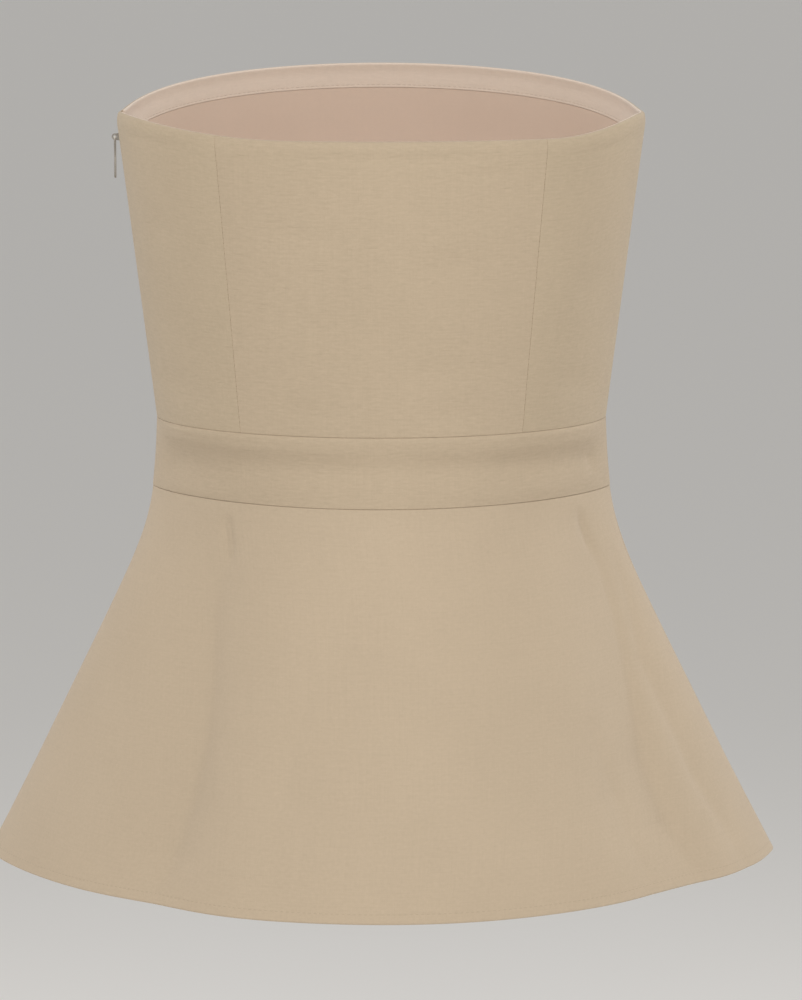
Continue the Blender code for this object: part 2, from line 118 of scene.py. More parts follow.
# Bodice
# Six panels of plain linen, three behind and three in front, joined by princess seams and side seams and
# pressed flat. The top edge is turned over the facing; the lower edge is sewn to the waistband.
TOP_EDGE = 0.0
UPPER_WAIST_SEAM = -0.1640
LOWER_WAIST_SEAM = -0.2030
HEM = -0.4115
CLOTH_WALL = 0.0012
FACING_WALL = 0.0014
LINING_WALL = 0.0010
LAYER_GAP = 0.0005
FRONT_RISE = 0.0268
FRONT_FULLNESS = 0.17
FRONT_EASE = 0.02
FRONT_JOIN = 3.0
SIDE_RISE = 0.0050
BACK_DIP = 0.0047
DIP_FROM = math.radians(9.0)
DIP_TO_BY_ZIP = math.radians(70.0)
DIP_TO_BY_PLAIN_SIDE = math.radians(51.0)
RIM_CURL = 0.0014
RIM_CURL_DEPTH = 0.0070
SEAM_ROUNDING = 0.10
FULL_TURN = 2.0 * math.pi
HALF_TURN = math.pi
SIDE_SEAM_ROLL = 0.00025
PRINCESS_ROLL = 0.00020
UPPER_WAIST_ROLL = 0.00036
WAIST_ROLL = 0.00045
RIM_ROLL = 0.00110
HAIRLINE = 0.00001
ROLL_LIMIT = CLOTH_WALL - 0.0001
SHARP_FROM = math.radians(50.0)
BODICE_ROWS = 70

# The small turn, in radians, and rise by which a surface's direction and stretch are measured.
TURN_STEP = 0.01
RISE_STEP = 0.0005

# Turns round the body, in degrees from the zip's side seam at -X, by way of the back.
BACK_LEFT_SEAM = 52.4
BACK_RIGHT_SEAM = 127.6
FRONT_RIGHT_SEAM = 232.0
FRONT_LEFT_SEAM = 308.0

Ring = namedtuple("Ring", "height half_width back front back_taper front_taper")

BODICE = (
    Ring(TOP_EDGE, 0.1466, 0.1030, 0.1100, 0.49, 0.48),
    Ring(-0.0450, 0.1406, 0.1012, 0.1180, 0.50, 0.50),
    Ring(-0.0850, 0.1354, 0.0990, 0.1150, 0.51, 0.50),
    Ring(-0.1250, 0.1302, 0.0966, 0.1040, 0.53, 0.51),
    Ring(UPPER_WAIST_SEAM, 0.1252, 0.0946, 0.0970, 0.55, 0.53),
)

# Soft marks pressed or pulled into the cloth, as ridges or, when negative, troughs: from one turn and
# height to another, how far it stands out, its width, and how much of its length each end fades over.
Mark = namedtuple("Mark", "turn_from height_from turn_to height_to stands_out spread fade")

BODICE_MARKS = (
    Mark(60.0, -0.0085, 122.0, -0.0090, -0.00051, 0.0016, 0.25),
    Mark(62.0, -0.0035, 120.0, -0.0038, 0.00031, 0.0022, 0.30),
    Mark(12.0, -0.0095, 47.0, -0.0090, -0.00042, 0.0018, 0.30),
    Mark(132.0, -0.0100, 168.0, -0.0110, -0.00042, 0.0018, 0.30),
    Mark(104.0, -0.0190, 121.0, -0.0175, -0.00051, 0.0022, 0.45),
    Mark(57.0, -0.0480, 88.0, -0.0560, -0.00051, 0.0050, 0.45),
    Mark(92.0, -0.0720, 123.0, -0.0640, -0.00048, 0.0055, 0.45),
    Mark(60.0, -0.0980, 97.0, -0.1060, -0.00051, 0.0060, 0.45),
    Mark(86.0, -0.1310, 121.0, -0.1240, -0.00044, 0.0050, 0.45),
    Mark(61.0, -0.1480, 84.0, -0.1520, -0.00058, 0.0042, 0.40),
    Mark(97.0, -0.1500, 118.0, -0.1540, -0.00044, 0.0040, 0.45),
    Mark(16.0, -0.1350, 46.0, -0.1480, -0.00068, 0.0050, 0.40),
    Mark(134.0, -0.1330, 160.0, -0.1460, -0.00061, 0.0050, 0.40),
    Mark(20.0, -0.0620, 44.0, -0.0500, -0.00051, 0.0060, 0.45),
    Mark(136.0, -0.0900, 164.0, -0.0800, -0.00048, 0.0060, 0.45),
    Mark(238.0, -0.0090, 302.0, -0.0090, -0.00048, 0.0017, 0.25),
    Mark(236.0, -0.0900, 262.0, -0.1120, -0.00076, 0.0055, 0.45),
    Mark(304.0, -0.0860, 280.0, -0.1100, -0.00071, 0.0055, 0.45),
    Mark(242.0, -0.1420, 272.0, -0.1500, -0.00054, 0.0045, 0.40),
    Mark(312.0, -0.1320, 344.0, -0.1450, -0.00061, 0.0050, 0.40),
    Mark(228.0, -0.1340, 196.0, -0.1450, -0.00058, 0.0050, 0.40),
)


def ring_curve(rings, column, height):
    """One column of a ring table at many heights, on a smooth curve through its rows."""
    heights = np.array([ring.height for ring in rings])
    values = np.array([getattr(ring, column) for ring in rings])
    before = np.maximum(np.arange(len(rings)) - 1, 0)
    after = np.minimum(np.arange(len(rings)) + 1, len(rings) - 1)
    slopes = (values[after] - values[before]) / (heights[after] - heights[before])
    row = np.clip(np.searchsorted(-heights, -height, side="left") - 1, 0, len(rings) - 2)
    span = heights[row + 1] - heights[row]
    share = (height - heights[row]) / span
    square = share * share
    cube = square * share
    return (
        (2.0 * cube - 3.0 * square + 1.0) * values[row]
        + (cube - 2.0 * square + share) * slopes[row] * span
        + (3.0 * square - 2.0 * cube) * values[row + 1]
        + (cube - square) * slopes[row + 1] * span
    )


def ring_point(rings, turn, height):
    """Points of the plain body at turns and heights."""
    side = np.sin(turn)
    behind = side > 0.0
    depth = np.where(behind, ring_curve(rings, "back", height), ring_curve(rings, "front", height))
    taper = np.where(
        behind, ring_curve(rings, "back_taper", height), ring_curve(rings, "front_taper", height)
    )
    rounding = SEAM_ROUNDING * SEAM_ROUNDING
    fullness = ((side * side + rounding) / (1.0 + rounding)) ** (taper - 0.5)
    across = -ring_curve(rings, "half_width", height) * np.cos(turn)
    return np.stack([across, -side * depth * fullness, height + 0.0 * turn], axis=-1)


def ease(low, high, value):
    """0 up to low, 1 from high on, and a smooth rise between."""
    share = np.clip((value - low) / (high - low), 0.0, 1.0)
    return share * share * (3.0 - 2.0 * share)


def rim_height(turn):
    """How far the top edge stands above its datum, or below it."""
    turn = np.mod(turn, FULL_TURN)
    side = np.sin(turn)
    ahead = np.maximum(-side, 0.0)
    share = ahead * ahead / (FRONT_EASE + ahead) * (1.0 + FRONT_EASE)
    front = FRONT_RISE * share * (1.0 + FRONT_FULLNESS * (1.0 - ahead))
    front = (SIDE_RISE ** FRONT_JOIN + front ** FRONT_JOIN) ** (1.0 / FRONT_JOIN)
    by_zip = ease(DIP_FROM, DIP_TO_BY_ZIP, turn)
    by_plain_side = ease(DIP_FROM, DIP_TO_BY_PLAIN_SIDE, HALF_TURN - turn)
    dipped = np.where(turn < HALF_TURN / 2.0, by_zip, by_plain_side)
    return np.where(side < 0.0, front, SIDE_RISE - (SIDE_RISE + BACK_DIP) * dipped)


def rim_stretch(turn):
    """How much longer the bodice is at a turn than its ring table."""
    return 1.0 + rim_height(turn) / (TOP_EDGE - UPPER_WAIST_SEAM)


def plain_bodice(turn, height):
    """The bodice's outer face before its edge curls in, following the slope of the top edge."""
    point = ring_point(BODICE, turn, height)
    point[..., 2] += (rim_stretch(turn) - 1.0) * (height - UPPER_WAIST_SEAM)
    return point


def outward(cloth, turn, height):
    """The direction square to the cloth, away from the body."""
    around = cloth(turn + TURN_STEP, height) - cloth(turn - TURN_STEP, height)
    upward = cloth(turn, height + RISE_STEP) - cloth(turn, height - RISE_STEP)
    facing_out = np.cross(upward, around)
    facing_out /= np.linalg.norm(facing_out, axis=-1, keepdims=True)
    place = cloth(turn, height)
    inwards = np.sum(facing_out[..., :2] * place[..., :2], axis=-1, keepdims=True) < 0.0
    return np.where(inwards, -facing_out, facing_out)


def bodice_cloth(turn, height):
    """The bodice's outer face, with its top edge curling in a little."""
    near = np.maximum(1.0 - (TOP_EDGE - height) * rim_stretch(turn) / RIM_CURL_DEPTH, 0.0)
    curl = RIM_CURL * near * near + 0.0 * turn
    return plain_bodice(turn, height) - outward(plain_bodice, turn, height) * curl[..., None]


def marks_relief(marks, cloth, turn, height):
    """How far a table's marks push the cloth out, at turns and heights."""
    around = cloth(turn + TURN_STEP, height) - cloth(turn - TURN_STEP, height)
    girth = np.linalg.norm(around, axis=-1) / (2.0 * TURN_STEP)
    relief = np.zeros(np.broadcast(turn, height).shape)
    for mark in marks:
        run = np.array([math.radians(mark.turn_to - mark.turn_from), mark.height_to - mark.height_from])
        from_turn = np.mod(turn, FULL_TURN) - math.radians(mark.turn_from)
        from_height = height - mark.height_from
        across = np.stack([from_turn * girth, from_height], axis=-1)
        reach = np.stack([run[0] * girth, run[1] + 0.0 * girth], axis=-1)
        length = np.linalg.norm(reach, axis=-1)
        along = np.sum(across * reach, axis=-1) / (length * length)
        aside = (across[..., 0] * reach[..., 1] - across[..., 1] * reach[..., 0]) / length
        ends = ease(0.0, mark.fade, along) * ease(0.0, mark.fade, 1.0 - along)
        relief += mark.stands_out * ends * np.exp(-0.5 * (aside / mark.spread) ** 2)
    return relief


# Distances from a panel's edge at which the mesh has a row or column.
EDGE_STEPS = np.array([0.0, 0.00012, 0.00030, 0.00055, 0.00090, 0.00150, 0.0026, 0.0042])


def edged_turns(cloth, start, end, heights, columns, start_gap, end_gap):
    """Turns across a panel, row by row, with close columns beside its two seams."""
    rows = np.asarray(heights)

    def beside(seam, way, gap):
        step = 0.005
        near = np.full(len(rows), seam)
        speed = np.linalg.norm(cloth(near + way * step, rows) - cloth(near, rows), axis=-1) / step
        return near[:, None] + way * (gap[:, None] + EDGE_STEPS[None, :]) / speed[:, None]

    left = beside(start, 1.0, start_gap)
    right = beside(end, -1.0, end_gap)[:, ::-1]
    shares = np.linspace(0.0, 1.0, columns + 2)[1:-1]
    middle = left[:, -1:] + (right[:, :1] - left[:, -1:]) * shares[None, :]
    return np.concatenate([left, middle, right], axis=1)


def edged_heights(top, bottom, rows):
    """Heights down a panel, with close rows beside its upper and lower edge."""
    upper = top - EDGE_STEPS
    lower = (bottom + EDGE_STEPS)[::-1]
    return np.concatenate([upper, np.linspace(upper[-1], lower[0], rows + 2)[1:-1], lower])


def rolled(distance, radius):
    """How deep the cloth's face lies at a distance from an edge that is turned in."""
    inside = np.clip(radius - distance, 0.0, radius)
    return radius - np.sqrt(np.maximum(radius * radius - inside * inside, 0.0))


def edge_distance(count, at_start):
    """Distances from one edge for each column or row, large beyond the close ones."""
    distance = np.full(count, 1.0)
    if at_start:
        distance[: len(EDGE_STEPS)] = EDGE_STEPS
    else:
        distance[-len(EDGE_STEPS):] = EDGE_STEPS[::-1]
    return distance


def edges_sunk(rows, columns, start_roll, end_roll, upper_roll, lower_roll):
    """How deep a panel's face lies where its four edges are turned in."""
    sunk = rolled(edge_distance(columns, True), start_roll)[None, :]
    sunk = sunk + rolled(edge_distance(columns, False), end_roll)[None, :]
    sunk = sunk + rolled(edge_distance(rows, True), upper_roll)[:, None]
    return sunk + rolled(edge_distance(rows, False), lower_roll)[:, None]


def as_piece(name, mesh, finish, sharp_from=None):
    """A piece of a mesh, smooth, with its faces outwards and its finish on it."""
    bm = bmesh.new()
    bm.from_mesh(mesh)
    bmesh.ops.recalc_face_normals(bm, faces=bm.faces)
    bm.to_mesh(mesh)
    bm.free()
    mesh.shade_smooth()
    if sharp_from:
        mesh.set_sharp_from_angle(angle=sharp_from)
    mesh.materials.append(finish)
    piece = bpy.data.objects.new(name, mesh)
    bpy.context.scene.collection.objects.link(piece)
    return piece


def add_wall(name, surface, square, sunk, depth, finish):
    """A closed thin wall of cloth, its faces sunk and depth below a grid of points on the body.

    Its weave is laid out in metres as a UV map.
    """
    outer = surface - square * np.asarray(sunk)[..., None]
    inner = surface - square * np.asarray(depth)[..., None]
    rows, columns = outer.shape[:2]
    count = rows * columns
    grid = np.arange(count).reshape(rows, columns)
    a, b = grid[:-1, :-1].ravel(), grid[1:, :-1].ravel()
    c, d = grid[1:, 1:].ravel(), grid[:-1, 1:].ravel()
    faces = [np.stack([a, b, c, d], axis=1), np.stack([d, c, b, a], axis=1) + count]
    for low, high in ((grid[0, :-1], grid[0, 1:]), (grid[-1, 1:], grid[-1, :-1])):
        faces.append(np.stack([low, high, high + count, low + count], axis=1))
    for low, high in ((grid[1:, 0], grid[:-1, 0]), (grid[:-1, -1], grid[1:, -1])):
        faces.append(np.stack([low, high, high + count, low + count], axis=1))
    mesh = bpy.data.meshes.new(name)
    points = np.concatenate([outer.reshape(-1, 3), inner.reshape(-1, 3)])
    mesh.from_pydata(points.tolist(), [], np.concatenate(faces).tolist())

    steps = np.linalg.norm(np.diff(outer, axis=1), axis=-1)
    across = np.concatenate([np.zeros((rows, 1)), np.cumsum(steps, axis=1)], axis=1)
    across -= across[:, columns // 2][:, None]
    drops = np.linalg.norm(np.diff(outer[:, columns // 2], axis=0), axis=-1)
    down = np.concatenate([[0.0], np.cumsum(drops)])[:, None] + 0.0 * across
    weave = np.stack([across.ravel(), -down.ravel()], axis=1)
    weave = np.concatenate([weave, weave])
    corners = np.zeros(len(mesh.loops), dtype=np.int32)
    mesh.loops.foreach_get("vertex_index", corners)
    layer = mesh.uv_layers.new(name="weave")
    layer.data.foreach_set("uv", weave[corners].astype(np.float32).ravel())

    return as_piece(name, mesh, finish, SHARP_FROM)


class Signal:
    """A number that varies over a surface: arithmetic on it adds the Math nodes that work it out."""

    def __init__(self, finish, socket):
        self.finish = finish
        self.socket = socket

    def joined(self, operation, *others):
        """A Math node on this signal and others."""
        sockets = {0: self.socket}
        for index, other in enumerate(others, 1):
            sockets[index] = other.socket if isinstance(other, Signal) else other
        node = self.finish.node("ShaderNodeMath", {"operation": operation}, sockets)
        return Signal(self.finish, node.outputs[0])

    def reflected(self, operation, other):
        """A Math node with a plain number first and this signal second."""
        node = self.finish.node("ShaderNodeMath", {"operation": operation}, {0: other, 1: self.socket})
        return Signal(self.finish, node.outputs[0])

    def __add__(self, other):
        return self.joined("ADD", other)

    __radd__ = __add__

    def __sub__(self, other):
        return self.joined("SUBTRACT", other)

    def __rsub__(self, other):
        return self.reflected("SUBTRACT", other)

    def __mul__(self, other):
        return self.joined("MULTIPLY", other)

    __rmul__ = __mul__

    def __pow__(self, other):
        return self.joined("POWER", other)

    def __abs__(self):
        return self.joined("ABSOLUTE")

    def wave(self):
        """The sine of this signal."""
        return self.joined("SINE")

    def above(self, low, high):
        """0 below low, 1 above high, smooth between."""
        settings = {"interpolation_type": "SMOOTHSTEP"}
        node = self.finish.node("ShaderNodeMapRange", settings, {0: self.socket, 1: low, 2: high})
        return Signal(self.finish, node.outputs[0])


class Finish:
    """A material: its Principled shader, and the nodes that feed it."""

    def __init__(self, name, roughness, metallic=0.0):
        self.material = bpy.data.materials.new(name)
        self.material.use_nodes = True
        self.tree = self.material.node_tree
        self.shader = self.tree.nodes["Principled BSDF"]
        self.shader.inputs["Roughness"].default_value = roughness
        self.shader.inputs["Metallic"].default_value = metallic

    def node(self, kind, settings=None, sockets=None):
        """A node of a kind: its settings first, then the values or links of its sockets."""
        node = self.tree.nodes.new(kind)
        for key, value in (settings or {}).items():
            setattr(node, key, value)
        for key, value in (sockets or {}).items():
            if isinstance(value, bpy.types.NodeSocket):
                self.tree.links.new(value, node.inputs[key])
            else:
                node.inputs[key].default_value = value
        return node

    def map_vector(self, source, scale):
        """A coordinate stretched by a scale along each axis."""
        return self.node("ShaderNodeMapping", None, {"Vector": source, "Scale": scale}).outputs[0]

    def noise(self, vector, scale, detail=2.0, roughness=0.5):
        """Soft noise from 0 to 1."""
        sockets = {"Vector": vector, "Scale": scale, "Detail": detail, "Roughness": roughness}
        return Signal(self, self.node("ShaderNodeTexNoise", None, sockets).outputs[0])

    def tint(self, amount, plain, tinted):
        """A colour between two others, by a signal."""
        node = self.node("ShaderNodeMix", {"data_type": "RGBA"}, {0: amount.socket, 6: plain, 7: tinted})
        return node.outputs[2]

    def set_colour(self, colour):
        """Feed the shader's colour."""
        self.tree.links.new(colour, self.shader.inputs["Base Color"])

    def set_roughness(self, signal):
        """Feed the shader's roughness."""
        self.tree.links.new(signal.socket, self.shader.inputs["Roughness"])

    def set_relief(self, signal, height):
        """Raise the surface by a signal times a height in metres."""
        sockets = {"Height": signal.socket, "Distance": height, "Strength": 1.0}
        bump = self.node("ShaderNodeBump", None, sockets)
        self.tree.links.new(bump.outputs[0], self.shader.inputs["Normal"])


Weave = namedtuple("Weave", "name light dark slub_colour pitch relief slubs roughness sheen")


def woven(weave):
    """Plain woven cloth: warp and weft of uneven yarns, with slubs that run along them."""
    finish = Finish(weave.name, weave.roughness)
    finish.shader.inputs["Sheen Weight"].default_value = weave.sheen
    finish.shader.inputs["Sheen Roughness"].default_value = 0.45
    finish.shader.inputs["Specular IOR Level"].default_value = 0.25
    laid = finish.node("ShaderNodeUVMap", {"uv_map": "weave"}).outputs[0]
    wander = finish.noise(laid, 90.0, 2.0)
    parts = finish.node("ShaderNodeSeparateXYZ", None, {0: laid})
    yarn = math.pi / weave.pitch
    drift = weave.pitch * 0.55
    across = Signal(finish, parts.outputs[0]) + wander * drift
    along = Signal(finish, parts.outputs[1]) + wander * drift
    warp_wave = (across * yarn).wave()
    weft_wave = (along * yarn).wave()
    pillow = (abs(warp_wave) * abs(weft_wave)) ** 0.6
    crossing = (warp_wave * weft_wave * 2.5).above(-1.0, 1.0)
    warp_yarns = finish.noise(finish.map_vector(laid, (1.0 / weave.pitch, 26.0, 1.0)), 0.9, 2.0)
    weft_yarns = finish.noise(finish.map_vector(laid, (22.0, 1.0 / weave.pitch, 1.0)), 0.9, 2.0)
    uneven = warp_yarns * crossing + weft_yarns * (1.0 - crossing)
    slub_along = finish.noise(finish.map_vector(laid, (70.0, 1500.0, 1.0)), 1.0, 3.0).above(0.60, 0.78)
    slub_down = finish.noise(finish.map_vector(laid, (1600.0, 60.0, 1.0)), 1.0, 3.0).above(0.63, 0.80)
    slubs = (slub_along + slub_down * 0.7) * weave.slubs
    cloud = finish.noise(laid, 14.0, 3.0)
    streaks = finish.noise(finish.map_vector(laid, (170.0, 760.0, 1.0)), 1.0, 3.0, 0.6)
    nap = finish.noise(laid, 520.0, 3.0, 0.6)
    # Painted shade in the weave: the tone follows the yarns' swell, lighter on their crowns and darker
    # between them where the relief dips, on top of the yarns' own uneven tone, clouds and streaks.
    tone = pillow * 0.40 + uneven * 0.35 + cloud * 0.25 + (streaks - 0.5) * (1.1 * weave.slubs)
    tone = tone + (nap - 0.5) * 0.3 + 0.02
    body = finish.tint(tone, weave.dark, weave.light)
    finish.set_colour(finish.tint(slubs * 0.7, body, weave.slub_colour))
    finish.set_roughness(weave.roughness + (uneven - 0.5) * 0.12)
    finish.set_relief(pillow * 0.6 + uneven * 0.5 + slubs * 0.8, weave.relief)
    return finish.material


LINEN_WEAVE = Weave(
    name="linen", light=(0.598, 0.480, 0.346, 1.0), dark=(0.412, 0.330, 0.232, 1.0),
    slub_colour=(0.400, 0.315, 0.220, 1.0), pitch=0.00062, relief=0.00016, slubs=0.5, roughness=0.88,
    sheen=0.12,
)
linen = woven(LINEN_WEAVE)
side_linen = woven(LINEN_WEAVE._replace(
    name="side_linen", light=(0.600, 0.484, 0.347, 1.0), dark=(0.413, 0.333, 0.232, 1.0),
    slub_colour=(0.390, 0.307, 0.214, 1.0),
))

Panel = namedtuple("Panel", "name node start end columns start_roll end_roll width length area")

BODICE_PANELS = (
    Panel("linen_back_side_left", "bodice_back_side_left", 0.0, BACK_LEFT_SEAM, 40,
          SIDE_SEAM_ROLL, PRINCESS_ROLL, 0.122, 0.172, 0.0188),
    Panel("linen_back_centre", "bodice_back_centre", BACK_LEFT_SEAM, BACK_RIGHT_SEAM, 60,
          PRINCESS_ROLL, PRINCESS_ROLL, 0.190, 0.164, 0.0286),
    Panel("linen_back_side_right", "bodice_back_side_right", BACK_RIGHT_SEAM, 180.0, 40,
          PRINCESS_ROLL, SIDE_SEAM_ROLL, 0.122, 0.168, 0.0183),
    Panel("linen_front_side_right", "bodice_front_side_right", 180.0, FRONT_RIGHT_SEAM, 40,
          SIDE_SEAM_ROLL, PRINCESS_ROLL, 0.136, 0.192, 0.0212),
    Panel("linen_front_centre", "bodice_front_centre", FRONT_RIGHT_SEAM, FRONT_LEFT_SEAM, 60,
          PRINCESS_ROLL, PRINCESS_ROLL, 0.206, 0.198, 0.0345),
    Panel("linen_front_side_left", "bodice_front_side_left", FRONT_LEFT_SEAM, 360.0, 40,
          PRINCESS_ROLL, SIDE_SEAM_ROLL, 0.136, 0.192, 0.0212),
)
ZIP_OPEN_TO = -0.0180
ZIP_CLOSED_FROM = -0.0290
ZIP_OPEN_HALF = 0.0009
ZIP_DRAWN_TO = -0.0080
ZIP_TOP_HALF = 0.0002


def zip_half_gap(heights):
    """Half the gap of the zip's seam: closed below the slider, open at it, drawn together at the top."""
    opened = HAIRLINE + (ZIP_OPEN_HALF - HAIRLINE) * ease(ZIP_CLOSED_FROM, ZIP_OPEN_TO, heights)
    return opened - (ZIP_OPEN_HALF - ZIP_TOP_HALF) * ease(ZIP_DRAWN_TO, TOP_EDGE, heights)


def seam_half_gap(heights):
    """Half the hairline between two panels that are sewn together."""
    return np.full(len(heights), HAIRLINE)


bodice_rows = edged_heights(TOP_EDGE, UPPER_WAIST_SEAM + HAIRLINE, BODICE_ROWS)
for panel in BODICE_PANELS:
    start, end = math.radians(panel.start), math.radians(panel.end)
    start_gap = zip_half_gap(bodice_rows) if panel.start == 0.0 else seam_half_gap(bodice_rows)
    end_gap = zip_half_gap(bodice_rows) if panel.end == 360.0 else seam_half_gap(bodice_rows)
    turns = edged_turns(bodice_cloth, start, end, bodice_rows, panel.columns, start_gap, end_gap)
    heights = bodice_rows[:, None] + 0.0 * turns
    sunk = edges_sunk(*turns.shape, panel.start_roll, panel.end_roll, RIM_ROLL, UPPER_WAIST_ROLL)
    sunk = np.minimum(sunk, ROLL_LIMIT) - marks_relief(BODICE_MARKS, bodice_cloth, turns, heights)
    wall = CLOTH_WALL + LAYER_GAP * (1.0 - ease(0.001, 0.004, -bodice_rows))[:, None] + 0.0 * turns
    surface = bodice_cloth(turns, heights)
    square = outward(plain_bodice, turns, heights)
    shade = side_linen if "side" in panel.node else linen
    piece = add_wall(panel.name, surface, square, sunk, wall, shade)
    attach(piece, "top")
    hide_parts(panel.node)

# Waistband
# A straight band of the same linen, 39 mm deep, in a back and a front half. It is sewn on at both edges
# and goes a little hollow between them.
WAISTBAND = (
    Ring(UPPER_WAIST_SEAM, 0.1252, 0.0946, 0.0970, 0.55, 0.53),
    Ring(-0.1840, 0.1262, 0.0936, 0.0966, 0.63, 0.61),
    Ring(LOWER_WAIST_SEAM, 0.1279, 0.0938, 0.0978, 0.71, 0.69),
)
WAISTBAND_MARKS = (
    Mark(8.0, -0.1850, 64.0, -0.1855, -0.00220, 0.0074, 0.35),
    Mark(42.0, -0.1830, 100.0, -0.1815, -0.00140, 0.0050, 0.30),
    Mark(84.0, -0.1815, 138.0, -0.1825, -0.00140, 0.0048, 0.35),
    Mark(112.0, -0.1825, 173.0, -0.1835, -0.00200, 0.0054, 0.35),
    Mark(6.0, -0.1705, 100.0, -0.1700, 0.00100, 0.0034, 0.30),
    Mark(80.0, -0.1700, 174.0, -0.1705, 0.00090, 0.0034, 0.30),
    Mark(12.0, -0.1662, 168.0, -0.1662, 0.00055, 0.0012, 0.10),
    Mark(156.0, -0.1790, 159.0, -0.1960, -0.00080, 0.0034, 0.35),
    Mark(10.0, -0.1995, 60.0, -0.1990, 0.00040, 0.0028, 0.40),
    Mark(100.0, -0.1965, 150.0, -0.1975, 0.00040, 0.0030, 0.40),
    Mark(186.0, -0.1840, 268.0, -0.1820, -0.00170, 0.0056, 0.35),
    Mark(258.0, -0.1820, 354.0, -0.1840, -0.00190, 0.0060, 0.35),
    Mark(188.0, -0.1700, 352.0, -0.1700, 0.00060, 0.0034, 0.30),
    Mark(192.0, -0.1662, 348.0, -0.1662, 0.00040, 0.0012, 0.10),
)


BAND_WALL_LEAST = 0.0006
BAND_ROWS = 22
BAND_COLUMNS = 130


def waistband_cloth(turn, height):
    """The waistband's outer face."""
    return ring_point(WAISTBAND, turn, height)


band_rows = edged_heights(UPPER_WAIST_SEAM - HAIRLINE, LOWER_WAIST_SEAM + HAIRLINE, BAND_ROWS)
for name, node, start in (
    ("linen_waistband_back", "waistband_back", 0.0),
    ("linen_waistband_front", "waistband_front", HALF_TURN),
):
    gap = seam_half_gap(band_rows)
    turns = edged_turns(waistband_cloth, start, start + HALF_TURN, band_rows, BAND_COLUMNS, gap, gap)
    heights = band_rows[:, None] + 0.0 * turns
    sunk = edges_sunk(*turns.shape, SIDE_SEAM_ROLL, SIDE_SEAM_ROLL, UPPER_WAIST_ROLL, WAIST_ROLL)
    sunk = sunk - marks_relief(WAISTBAND_MARKS, waistband_cloth, turns, heights)
    surface = waistband_cloth(turns, heights)
    square = outward(waistband_cloth, turns, heights)
    wall = np.maximum(sunk + BAND_WALL_LEAST, CLOTH_WALL)
    piece = add_wall(name, surface, square, sunk, wall, linen)
    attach(piece, "top")
    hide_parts(node)

# Peplum
# Two flared halves of the same linen, joined at the sides and sewn to the waistband. They hang free in
# a few soft flutes, and end in a narrow double hem.
PEPLUM = (
    Ring(LOWER_WAIST_SEAM, 0.1277, 0.0938, 0.0978, 0.71, 0.69),
    Ring(-0.2085, 0.1285, 0.0944, 0.0984, 0.71, 0.69),
    Ring(-0.2180, 0.1312, 0.0965, 0.1006, 0.71, 0.69),
    Ring(-0.2320, 0.1362, 0.1004, 0.1046, 0.71, 0.69),
    Ring(-0.2500, 0.1442, 0.1068, 0.1112, 0.715, 0.70),
    Ring(-0.2700, 0.1538, 0.1146, 0.1192, 0.72, 0.71),
    Ring(-0.3000, 0.1684, 0.1272, 0.1320, 0.725, 0.715),
    Ring(-0.3550, 0.1951, 0.1504, 0.1556, 0.735, 0.725),
    Ring(HEM, 0.2224, 0.1746, 0.1800, 0.745, 0.735),
)
Fold = namedtuple("Fold", "waist_at hem_at stands_out spread start")
FOLDS = (
    Fold(48.0, 55.5, -0.0030, 6.5, -0.210),
    Fold(59.0, 68.0, 0.0018, 7.5, -0.215),
    Fold(101.0, 103.0, 0.0012, 14.0, -0.290),
    Fold(147.0, 138.0, -0.0034, 7.0, -0.210),
    Fold(150.0, 148.0, 0.0022, 5.0, -0.225),
    Fold(161.0, 159.0, 0.0016, 5.0, -0.235),
    Fold(203.0, 207.0, 0.0020, 6.0, -0.220),
    Fold(215.0, 221.0, -0.0034, 7.5, -0.210),
    Fold(262.0, 258.0, 0.0014, 13.0, -0.280),
    Fold(313.0, 307.0, -0.0036, 7.0, -0.210),
    Fold(323.0, 320.0, 0.0022, 6.0, -0.225),
)
